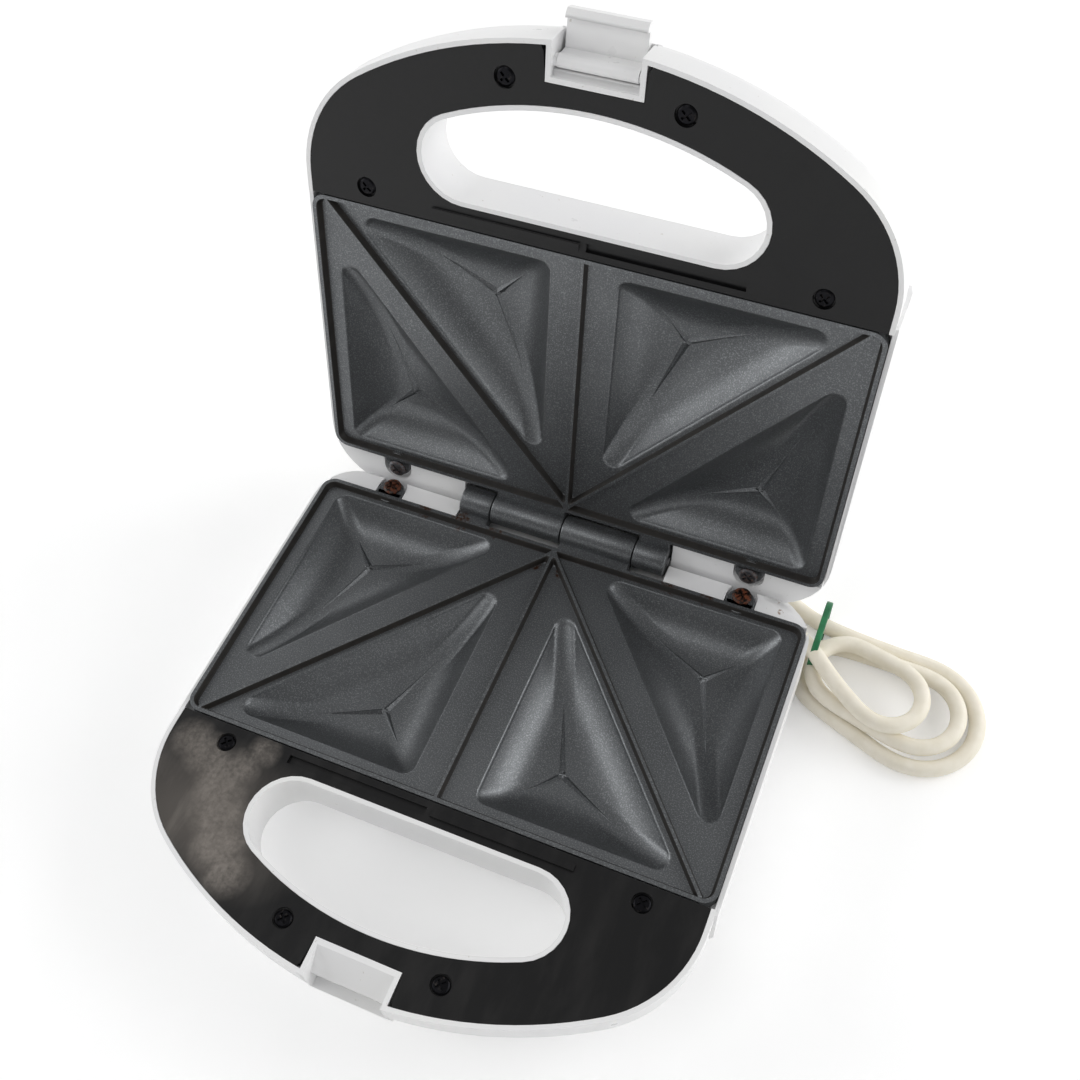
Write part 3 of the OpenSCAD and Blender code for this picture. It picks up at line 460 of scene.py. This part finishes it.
FINISHES = {
    # moulded ABS, glossy; the clip is of the same
    "white_housing": gloss_housing(),
    "white_clip": gloss_housing(),
    # moulded PBT, satin; the base's is rubbed at its left end, with a pale sheen painted there
    "black_cover": satin_cover("satin black PBT", False),
    "worn_cover_and_sheen": satin_cover("worn satin black PBT with painted sheen", True),
    # die-cast aluminium with a non-stick coat
    "coated_plate": coated_casting(),
    # the same coat darkened on the steep sides of ridges and lip: burnt fat, and painted shade
    "burnt_coat_and_shade": plain_finish(
        "burnt fat and painted shade on the coat", "161412", "24201C", 0.6, grain_mm=0.6, depth_mm=0.02,
    ),
    # screws: blackened in the covers, rusted on the base's tabs, zinc-plated elsewhere
    "black_screw": screw_steel("blackened steel", "17171A", "2A221D", 0.1),
    "rusty_screw": screw_steel("rusted steel", "35302D", "6A3417", 0.45),
    "steel_screw": screw_steel("zinc-plated steel", "6B6B6E", "4A2E1C", 0.35),
    # drawn steel tube and pins: bright, finely scratched
    "element_steel": plain_finish("drawn stainless steel", "8A8B8E", "A5A6A8", 0.32, 1.0, grain_mm=0.8),
    # rolled aluminium sheet: bright with rolling marks
    "reflector_sheet": plain_finish("rolled aluminium sheet", "B4B6B9", "D0D2D4", 0.28, 1.0, grain_mm=1.5),
    # bodies of thermostat and terminal block: pressed and fired steatite, glazed
    "ceramic_white": plain_finish("glazed steatite", "DAD4C8", "E8E3D8", 0.25, ior=1.6),
    # woven sleeve over the fuse
    "fuse_sleeve": plain_finish(
        "varnished glass-fibre sleeve", "CFCBBE", "E0DDD2", 0.6, grain_mm=0.5, depth_mm=0.05,
    ),
    # heat-proof wire, matt
    "wire_sleeve": plain_finish("silicone rubber insulation", "B9AD90", "CFC4A8", 0.5),
    # soft PVC, aged to ivory
    "ivory_cord": plain_finish(
        "ivory PVC sheath", "ECE5D3", "F4EEDF", 0.42, ior=1.53, grain_mm=0.7, depth_mm=0.02,
    ),
    # cord clamp: nylon, satin
    "black_plastic": plain_finish("black polyamide", "101011", "1A1A1B", 0.45),
    # feet, matt
    "rubber_foot": plain_finish("black rubber", "131313", "1D1D1D", 0.75, grain_mm=0.5, depth_mm=0.03),
    # small bulbs, and the lenses over them
    "lamp_glass": clear_lens("neon bulb glass", "E6C7A6", "F2DABD"),
    "red_lens": clear_lens("red polystyrene", "8C1410", "B01B14"),
    "green_lens": clear_lens("green polystyrene", "0E6B2A", "158A38"),
    # lamp holder: satin, as moulded
    "white_bracket": plain_finish("white polypropylene", "D9D9D6", "E6E6E3", 0.45),
    # garden wire round the hank
    "green_tie": plain_finish("green PVC-coated wire", "12603A", "1B7A4A", 0.4, grain_mm=0.5),
}


def finish(obj, key):
    obj.data.materials.clear()
    obj.data.materials.append(FINISHES[key])


for part in frame["record"]["subparts"]:
    node = frame["nodes"].get(part["node"])
    if node is not None:
        finish(node, part["material_slot"])
finish(cord, "ivory_cord")


# ----------------------------------------------------------------- meshes
def new_piece(name, mesh_data, body, slot, material=None, replaces=()):
    """Object from a bmesh in metres: rides, slot and finish."""
    mesh = bpy.data.meshes.new(name)
    mesh_data.to_mesh(mesh)
    mesh_data.free()
    piece = bpy.data.objects.new(name, mesh)
    bpy.context.scene.collection.objects.link(piece)
    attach(piece, body)
    if replaces:
        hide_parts(*replaces)
    finish(piece, material or slot)
    return piece


# Heights are worked out for whole arrays of x and y.
def smooth(value):
    value = np.clip(value, 0.0, 1.0)
    return value * value * (3 - 2 * value)


def slope(value):
    """Rise from 0 to 1: straight, with rounded ends."""
    value = np.clip(value, 0.0, 1.0)
    end = np.minimum(value, 1 - value)
    risen = np.where(end < EASE, end * end / (2 * EASE), end - EASE / 2) / (1 - EASE)
    return np.where(value < 0.5, risen, 1 - risen)


def blend_min(first, second, width):
    """Smaller of two values, rounded over width."""
    gap = np.maximum(width - abs(first - second), 0.0) / width
    return np.minimum(first, second) - gap * gap * width / 4


class Pocket:
    """Triangular bowl: distance inside its edge, and its three raised ribs."""

    def __init__(self, corners):
        a, b, c = [Vector(p) for p in corners]
        la, lb, lc = (b - c).length, (c - a).length, (a - b).length
        self.centre = (a * la + b * lb + c * lc) / (la + lb + lc)
        self.edges = []
        for start, end in ((a, b), (b, c), (c, a)):
            along = (end - start).normalized()
            inward = Vector((-along.y, along.x))
            if inward.dot(self.centre - start) < 0:
                inward = -inward
            self.edges.append((start, inward))
        self.radius = self.edges[0][1].dot(self.centre - a)
        self.deepest = self.radius - CORNER_R
        self.corners = []
        for corner, first, second in ((a, b, c), (b, c, a), (c, a, b)):
            ways = (corner - first).normalized(), (corner - second).normalized()
            self.corners.append((corner - self.centre, *ways))
        self.ribs = [((p - self.centre).normalized(), (p - self.centre).length) for p in (a, b, c)]

    def inside(self, x, y):
        """Distance inside the edge, for outlines that keep one corner radius at every level."""
        sides = [inward.x * (x - start.x) + inward.y * (y - start.y) for start, inward in self.edges]
        result = np.minimum(np.minimum(sides[0], sides[1]), sides[2])
        qx, qy = x - self.centre.x, y - self.centre.y
        for corner, first, second in self.corners:
            # middle of the corner's arc that passes through the point, as a share of the way out
            square = corner.length_squared
            along = (qx * corner.x + qy * corner.y) / square
            room = along * along - (qx * qx + qy * qy - CORNER_R ** 2) / square
            share = along - np.sqrt(np.maximum(room, 0.0))
            nx, ny = qx - share * corner.x, qy - share * corner.y
            on_arc = (room >= 0) & (nx * first.x + ny * first.y > 0) & (nx * second.x + ny * second.y > 0)
            result = np.where(on_arc & (share > 0), self.radius * (1 - share) - CORNER_R, result)
        return np.minimum(result, self.deepest)

    def depth(self, x, y):
        s = self.inside(x, y)
        u = np.clip((s + BOWL_SHIFT) / self.deepest, 0.0, 1.0)
        bowl = POCKET_DEPTH * (1 - (1 - u) ** BOWL_POWER)
        fillet = smooth((s + RIM) / (2 * RIM))
        return np.where(s < -RIM, 0.0, bowl * fillet - self.rib(x, y))

    def rib(self, x, y):
        """Height of the three tapered ribs that meet in the middle."""
        height = np.zeros_like(x)
        dx, dy = x - self.centre.x, y - self.centre.y
        for direction, reach in self.ribs:
            along = dx * direction.x + dy * direction.y
            side = abs(dx * direction.y - dy * direction.x)
            taper = 1 - np.maximum(along, 0.0) / (SPINE_REACH * reach)
            half = np.maximum(SPINE_HALF * taper, 1e-6)
            crest = SPINE_HEIGHT * taper * (1 - side / half)
            on_rib = (taper > 0) & (along > -SPINE_HALF) & (side < half)
            height = np.where(on_rib, np.maximum(height, crest), height)
        return height


POCKETS = [Pocket([(sx * x, y) for x, y in tri]) for tri in (BACK_POCKET, FRONT_POCKET) for sx in (1, -1)]
RIDGES = [(Vector(start), Vector(end)) for start, end in RIDGE_ENDS]


def edge_distance(x, y):
    """Distance inside the plate's rounded outline."""
    dx = abs(x) - (PLATE_X - PLATE_R)
    dy = abs(y) - (PLATE_Y - PLATE_R)
    outside = np.hypot(np.maximum(dx, 0.0), np.maximum(dy, 0.0))
    return PLATE_R - outside - np.minimum(np.maximum(dx, dy), 0.0)


def ridge_distance(x, y):
    """Distance to the nearest ridge, filled a little where ridges meet."""
    total = None
    for start, end in RIDGES:
        along = end - start
        t = np.clip(((x - start.x) * along.x + (y - start.y) * along.y) / along.length_squared, 0.0, 1.0)
        away = np.hypot(x - start.x - t * along.x, y - start.y - t * along.y)
        total = away if total is None else blend_min(total, away, RIDGE_FILL)
    return total


def plate_top(x, y):
    lip = 1 - slope((edge_distance(x, y) - LIP_TOP) / LIP_SLOPE)
    ridge = 1 - slope((ridge_distance(x, y) - RIDGE_HALF) / (RIDGE_FOOT - RIDGE_HALF))
    raised = np.maximum(lip, ridge * RIDGE_SHARE)
    height = FIELD_Z + (TOP_Z - FIELD_Z) * raised
    for pocket in POCKETS:
        height = height - np.where(raised <= 0.001, pocket.depth(x, y), 0.0)
    return height


def cut(mesh_data, start, direction, reach=None):
    """Cut faces along the line through start, near it only where reach is given."""
    direction = Vector(direction).normalized()
    normal = Vector((-direction.y, direction.x))
    faces = mesh_data.faces[:]
    if reach is not None:
        def near(face):
            away = face.calc_center_median().xy - Vector(start)
            beside, ahead = away.dot(normal), away.dot(direction)
            return abs(beside) < CUT_NEAR and -CUT_NEAR < ahead < reach + CUT_NEAR
        faces = [face for face in faces if near(face)]
    # each vertex and edge once, in the order of the faces
    verts = list(dict.fromkeys(v for f in faces for v in f.verts))
    edges = list(dict.fromkeys(e for f in faces for e in f.edges))
    bmesh.ops.bisect_plane(
        mesh_data, geom=verts + edges + faces, dist=CUT_SNAP,
        plane_co=(*start, 0), plane_no=(*normal, 0),
    )


def plate_surface():
    """Flat sheet of 1 mm squares, cut along every lip, ridge and pocket edge."""
    sheet = bmesh.new()
    bmesh.ops.create_grid(sheet, x_segments=int(2 * PLATE_X), y_segments=int(2 * PLATE_Y), size=1.0)
    bmesh.ops.scale(sheet, vec=(PLATE_X, PLATE_Y, 1), verts=sheet.verts)
    steps = (0, EASE, 1 - EASE, 1)
    for inset in [SHOULDER] + [LIP_TOP + LIP_SLOPE * step for step in steps]:
        for side in (-1, 1):
            cut(sheet, (side * (PLATE_X - inset), 0), (0, 1))
            cut(sheet, (0, side * (PLATE_Y - inset)), (1, 0))
    for start, end in RIDGES:
        along = (end - start).normalized()
        normal = Vector((-along.y, along.x))
        for step in steps:
            offset = RIDGE_HALF + (RIDGE_FOOT - RIDGE_HALF) * step
            for side in (-1, 1):
                cut(sheet, start + normal * offset * side, along, (end - start).length)
    for tri in (BACK_POCKET, FRONT_POCKET):
        for sx in (1, -1):
            corners = [Vector((sx * x, y)) for x, y in tri]
            pocket = Pocket(corners)
            for start, inward in pocket.edges:
                along = Vector((inward.y, -inward.x))
                lengths = [along.dot(c - start) for c in corners]
                first, reach = along * min(lengths), max(lengths) - min(lengths)
                for offset in RIM_CUTS:
                    cut(sheet, start + inward * offset + first, along, reach)
            for direction, reach in pocket.ribs:
                tip = pocket.centre + direction * SPINE_REACH * reach
                across = Vector((-direction.y, direction.x)) * SPINE_HALF
                for foot in (pocket.centre, pocket.centre + across, pocket.centre - across):
                    cut(sheet, foot, tip - foot, (tip - foot).length)
    return sheet


def round_corners(sheet):
    """Pull the sheet's corners in to the plate's corner radius."""
    for vert in sheet.verts:
        dx = abs(vert.co.x) - (PLATE_X - PLATE_R)
        dy = abs(vert.co.y) - (PLATE_Y - PLATE_R)
        if dx > 0 and dy > 0:
            scale = max(dx, dy) / math.hypot(dx, dy)
            vert.co.x = math.copysign(PLATE_X - PLATE_R + dx * scale, vert.co.x)
            vert.co.y = math.copysign(PLATE_Y - PLATE_R + dy * scale, vert.co.y)


def draw_in(verts, inset):
    """Move side vertices towards the middle of the plate."""
    for vert in verts:
        vert.co.x *= 1 - inset / PLATE_X
        vert.co.y *= 1 - inset / PLATE_Y


def plate_body():
    """Casting: relief on top, and the same relief a wall lower underneath."""
    casting = plate_surface()
    relief = casting.verts.layers.int.new("relief")
    round_corners(casting)
    under = bmesh.ops.duplicate(casting, geom=casting.faces[:])["geom"]
    under_faces = [item for item in under if isinstance(item, bmesh.types.BMFace)]
    under_verts = {vert for face in under_faces for vert in face.verts}
    places = np.array([tuple(v.co) for v in casting.verts])
    heights = plate_top(places[:, 0], places[:, 1])
    for vert, height in zip(casting.verts, heights):
        vert.co.z = min(height - PLATE_WALL, SLAB_Z) if vert in under_verts else height
        vert[relief] = vert not in under_verts
    bmesh.ops.reverse_faces(casting, faces=under_faces)
    border = [edge for edge in casting.edges if edge.is_boundary and edge.verts[0] not in under_verts]
    draw_in({v for v in under_verts if v.is_boundary}, DRAFT)
    # upper edge, side wall and lower edge
    for inset, level in ((0.0, TOP_Z - SHOULDER), (0.0, SLAB_Z + DRAFT), (DRAFT, SLAB_Z)):
        made = bmesh.ops.extrude_edge_only(casting, edges=border)["geom"]
        border = [item for item in made if isinstance(item, bmesh.types.BMEdge) and item.is_boundary]
        ring = {vert for edge in border for vert in edge.verts}
        draw_in(ring, inset)
        for vert in ring:
            vert.co.z = level
            vert[relief] = 0
    bmesh.ops.remove_doubles(casting, verts=[v for v in casting.verts if v.is_boundary], dist=1e-4)
    bmesh.ops.recalc_face_normals(casting, faces=casting.faces)
    return casting


def round_edges(part, edges, radius, **settings):
    bmesh.ops.bevel(
        part, geom=edges, offset=radius, offset_type="OFFSET", segments=3, profile=0.5,
        affect="EDGES", material=-1, **settings,
    )


def block(target, low, high, bevel=0.0):
    """Closed box between two corners, with rounded edges."""
    part = bmesh.new()
    bmesh.ops.create_cube(part, size=1.0)
    low, high = Vector(low), Vector(high)
    bmesh.ops.scale(part, vec=high - low, verts=part.verts)
    bmesh.ops.translate(part, vec=(low + high) / 2, verts=part.verts)
    if bevel:
        round_edges(part, part.edges[:], bevel, clamp_overlap=True)
    join(target, part)


def drum(target, radius, length, place, bevel=0.5, segments=64, bore=0.0):
    """Closed round bar along its own Z from 0 to length, moved by place."""
    part = bmesh.new()
    bmesh.ops.create_circle(part, cap_ends=not bore, segments=segments, radius=radius)
    if bore:
        bmesh.ops.create_circle(part, cap_ends=False, segments=segments, radius=bore)
        bmesh.ops.bridge_loops(part, edges=part.edges[:])
    made = bmesh.ops.extrude_face_region(part, geom=part.faces[:])["geom"]
    raised = [item for item in made if isinstance(item, bmesh.types.BMVert)]
    bmesh.ops.translate(part, vec=(0, 0, length), verts=raised)
    bmesh.ops.recalc_face_normals(part, faces=part.faces)
    rims = [e for e in part.edges if len(e.link_faces) == 2 and e.calc_face_angle(0) > 1.2]
    round_edges(part, rims, bevel)
    part.transform(place)
    join(target, part)


def join(target, part):
    """Add one bmesh to another."""
    mesh = bpy.data.meshes.new("joined")
    part.to_mesh(mesh)
    part.free()
    target.from_mesh(mesh)
    bpy.data.meshes.remove(mesh)


ALONG_X = Matrix.Rotation(math.pi / 2, 4, "Y")


def hinge_and_tabs(target):
    """Knuckles at the back with their webs, screw tabs beside them, and lugs at the front."""
    for low, high in KNUCKLES:
        place = Matrix.Translation((low, HINGE_Y, 0)) @ ALONG_X
        drum(target, KNUCKLE_R, high - low, place, 0.7, bore=KNUCKLE_BORE_R)
        block(target, (low + 0.3, PLATE_Y - 1.5, SLAB_Z), (high - 0.3, HINGE_Y - 3.5, -0.6), 0.8)
    under, end = TAB_Z - TAB_THICK, TAB_Y - TAB_SHORT
    for side in (-1, 1):
        x, lug = side * TAB_X, side * LUG_X
        drum(target, TAB_R, TAB_THICK, Matrix.Translation((x, end, under)), 0.6)
        block(target, (x - TAB_R, PLATE_Y - 1, under), (x + TAB_R, end, TAB_Z), 0.5)
        front, top = -PLATE_Y - 2.2, SLAB_Z + 2.6
        block(target, (lug - LUG_HALF, front, SLAB_Z), (lug + LUG_HALF, -PLATE_Y + 1, top), 0.4)


def shade(piece, angle):
    """Smooth shading, with creases sharper than angle degrees left sharp."""
    for face in piece.data.polygons:
        face.use_smooth = True
    piece.data.set_sharp_from_angle(angle=math.radians(angle))


def relief_normals(mesh):
    """Exact normals of the relief at each corner of its faces, and none elsewhere."""
    corners = len(mesh.loops)
    vert_of = np.empty(corners, dtype=np.int32)
    mesh.loops.foreach_get("vertex_index", vert_of)
    flags = np.empty(len(mesh.vertices), dtype=np.int32)
    mesh.attributes["relief"].data.foreach_get("value", flags)
    spots = np.empty(len(mesh.vertices) * 3)
    mesh.vertices.foreach_get("co", spots)
    spots = spots.reshape(-1, 3)[vert_of]
    sizes = np.empty(len(mesh.polygons), dtype=np.int32)
    mesh.polygons.foreach_get("loop_total", sizes)
    middles = np.empty(len(mesh.polygons) * 3)
    mesh.polygons.foreach_get("center", middles)
    facing = np.empty(len(mesh.polygons) * 3)
    mesh.polygons.foreach_get("normal", facing)
    middles = np.repeat(middles.reshape(-1, 3), sizes, axis=0)
    upward = np.repeat(facing.reshape(-1, 3)[:, 2], sizes) > UPWARD
    # read a little inside each face, so that a crease stays sharp
    x, y = (spots + (middles - spots) * 0.05)[:, :2].T
    step = 0.01
    slope_x = (plate_top(x + step, y) - plate_top(x - step, y)) / (2 * step)
    slope_y = (plate_top(x, y + step) - plate_top(x, y - step)) / (2 * step)
    normals = np.stack([-slope_x, -slope_y, np.ones(corners)], axis=1)
    normals /= np.linalg.norm(normals, axis=1)[:, None]
    normals[(flags[vert_of] == 0) | ~upward] = 0.0
    return normals


def darken_slopes(mesh):
    """Give the steep sides of the ridges and of the lip the darker coat: burnt fat, and painted shade."""
    mesh.materials.append(FINISHES["burnt_coat_and_shade"])
    middles = np.array([tuple(face.center) for face in mesh.polygons])
    upward = np.array([face.normal.z for face in mesh.polygons])
    ridge = ridge_distance(middles[:, 0], middles[:, 1])
    edge = edge_distance(middles[:, 0], middles[:, 1])
    steep = (ridge > RIDGE_HALF) & (ridge < RIDGE_FOOT)
    steep |= (edge > LIP_TOP) & (edge < LIP_TOP + LIP_SLOPE)
    for face, dark in zip(mesh.polygons, steep & (upward > UPWARD) & (upward < STEEP)):
        if dark:
            face.material_index = 1


def make_plates():
    """Both halves carry the same casting."""
    casting = plate_body()
    hinge_and_tabs(casting)
    for half in ("base", "lid"):
        copied = casting.copy()
        piece = new_piece(half + "_casting", copied, half, "coated_plate", replaces=(half + "_plate",))
        shade(piece, 50)
        darken_slopes(piece.data)
        normals = relief_normals(piece.data)
        place = HALVES[half].to_3x3()
        piece.data.transform(Matrix.Scale(MM, 4) @ HALVES[half])
        piece.data.normals_split_custom_set((normals @ np.array(place).T).tolist())
        piece.data.attributes.remove(piece.data.attributes["relief"])
    casting.free()


# ------------------------------------------------- pieces from CAD nodes
def dressed(node, body, slot, angle=35.0, material=None):
    """Copy of a CAD node with its seams merged and its round faces smooth."""
    source = bmesh.new()
    source.from_mesh(frame["nodes"][node].data)
    bmesh.ops.remove_doubles(source, verts=source.verts, dist=2e-6)
    bmesh.ops.dissolve_limit(source, angle_limit=math.radians(0.5), verts=source.verts, edges=source.edges)
    piece = new_piece(node + "_dressed", source, body, slot, material, (node,))
    shade(piece, angle)
    flat = piece.modifiers.new("flat faces stay flat", "WEIGHTED_NORMAL")
    flat.keep_sharp = True
    return piece


def make_tie():
    """Plastic-covered wire bent once round the strands, in the place of the CAD tie."""
    low, high = [corner / MM for corner in map(Vector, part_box("cord_tie"))]
    half = TIE_THICK / 2
    outline = []
    for turn, (y, z) in enumerate(((high.y, high.z), (low.y, high.z), (low.y, low.z), (high.y, low.z))):
        inward_y = -1 if y == high.y else 1
        inward_z = -1 if z == high.z else 1
        bend = TIE_BEND if z == high.z else TIE_LOW_BEND
        centre = Vector((y + inward_y * (bend + half), z + inward_z * (bend + half)))
        for i in range(9):
            angle = math.radians(90 * turn + 90 * i / 8)
            outline.append((centre.y, centre.x, bend, angle))
    band = bmesh.new()
    rings = []
    for z, y, bend, angle in outline:
        out = Vector((0, math.cos(angle), math.sin(angle)))
        middle = Vector(((low.x + high.x) / 2, y, z)) + out * bend
        ring = []
        for i in range(16):
            a = 2 * math.pi * i / 16
            wide = math.copysign(abs(math.cos(a)) ** TIE_SQUARE, math.cos(a)) * TIE_WIDE / 2
            thick = math.copysign(abs(math.sin(a)) ** TIE_SQUARE, math.sin(a)) * half
            ring.append(band.verts.new((middle + Vector((wide, 0, 0)) + out * thick) * MM))
        rings.append(ring)
    for first, second in zip(rings, rings[1:] + rings[:1]):
        for i in range(16):
            j = (i + 1) % 16
            band.faces.new((first[i], first[j], second[j], second[i]))
    bmesh.ops.recalc_face_normals(band, faces=band.faces)
    shade(new_piece("tie", band, "base", "green_tie", replaces=("cord_tie",)), 60)


make_plates()
make_tie()
dressed("base_shell", "base", "white_housing")
dressed("lid_shell", "lid", "white_housing")
dressed("base_handle_cover", "base", "black_cover", material="worn_cover_and_sheen")
dressed("lid_handle_cover", "lid", "black_cover")
dressed("latch_clip", "latch", "white_clip")
dressed("strain_relief", "base", "ivory_cord")
dressed("rubber_feet", "base", "rubber_foot")
dressed("mains_plug", "base", "ivory_cord")


# ---------------------------------------------------------------- table
def make_table():
    table = bmesh.new()
    bmesh.ops.create_grid(table, x_segments=1, y_segments=1, size=6.0)
    mesh = bpy.data.meshes.new("table")
    table.to_mesh(mesh)
    table.free()
    obj = bpy.data.objects.new("table", mesh)
    bpy.context.scene.collection.objects.link(obj)
    material, tree, shader, place = blank("matt white laminate")
    body = graded(tree, noise(tree, place, 60, 3), (0.3, "F9F9F9"), (0.7, "FCFCFC"))
    tree.links.new(body, shader.inputs["Base Color"])
    shader.inputs["Roughness"].default_value = 0.7
    # lifts the table to white where it is looked at, with its shadows kept
    path = add(tree, "ShaderNodeLightPath")
    seen = maths(tree, "MAXIMUM", path.outputs["Is Camera Ray"], path.outputs["Is Glossy Ray"])
    seen = maths(tree, "MAXIMUM", seen, path.outputs["Is Transmission Ray"])
    far = add(tree, "ShaderNodeVectorMath", {0: place}, operation="LENGTH").outputs["Value"]
    lift = maths(tree, "MULTIPLY", seen, remap(tree, far, *TABLE_GLOW, *GLOW_REACH))
    tree.links.new(lift, shader.inputs["Emission Strength"])
    mesh.materials.append(material)


def make_room():
    """White room: plain white up to the horizon, then bright walls and a dimmer ceiling."""
    room = bpy.data.worlds.new("room")
    bpy.context.scene.world = room
    room.use_nodes = True
    tree = room.node_tree
    tree.nodes.clear()
    direction = add(tree, "ShaderNodeTexCoord").outputs["Generated"]
    axes = add(tree, "ShaderNodeSeparateXYZ", {"Vector": direction})
    level = remap(tree, axes.outputs["Z"], WALL_LIGHT, CEILING_LIGHT, *CEILING_FROM)
    light = maths(tree, "MULTIPLY", level, remap(tree, axes.outputs["Y"], FRONT_SHARE, 1.0, *FRONT_TO_BACK))
    above = remap(tree, axes.outputs["Z"], 0.0, 1.0, *HORIZON)
    strength = add(tree, "ShaderNodeMix", {0: above, 2: 1.0, 3: light}, data_type="FLOAT").outputs[0]
    background = add(tree, "ShaderNodeBackground", {"Color": (1, 1, 1, 1), "Strength": strength})
    add(tree, "ShaderNodeOutputWorld", {"Surface": background.outputs["Background"]})


def make_lamps():
    """Broad soft lamps round the table."""
    middle = Vector((0, 0, 0.04))
    for name, direction, size, radiance in LAMPS:
        data = bpy.data.lights.new(name, "AREA")
        data.size = size
        data.energy = radiance * math.pi * size * size
        lamp = bpy.data.objects.new(name, data)
        aim = Vector(direction).normalized()
        lamp.location = middle + aim * LAMP_DISTANCE
        lamp.rotation_euler = aim.to_track_quat("Z", "Y").to_euler()
        lamp.visible_camera = False
        bpy.context.scene.collection.objects.link(lamp)


bpy.context.scene.view_settings.view_transform = "Standard"
make_table()
make_room()
make_lamps()
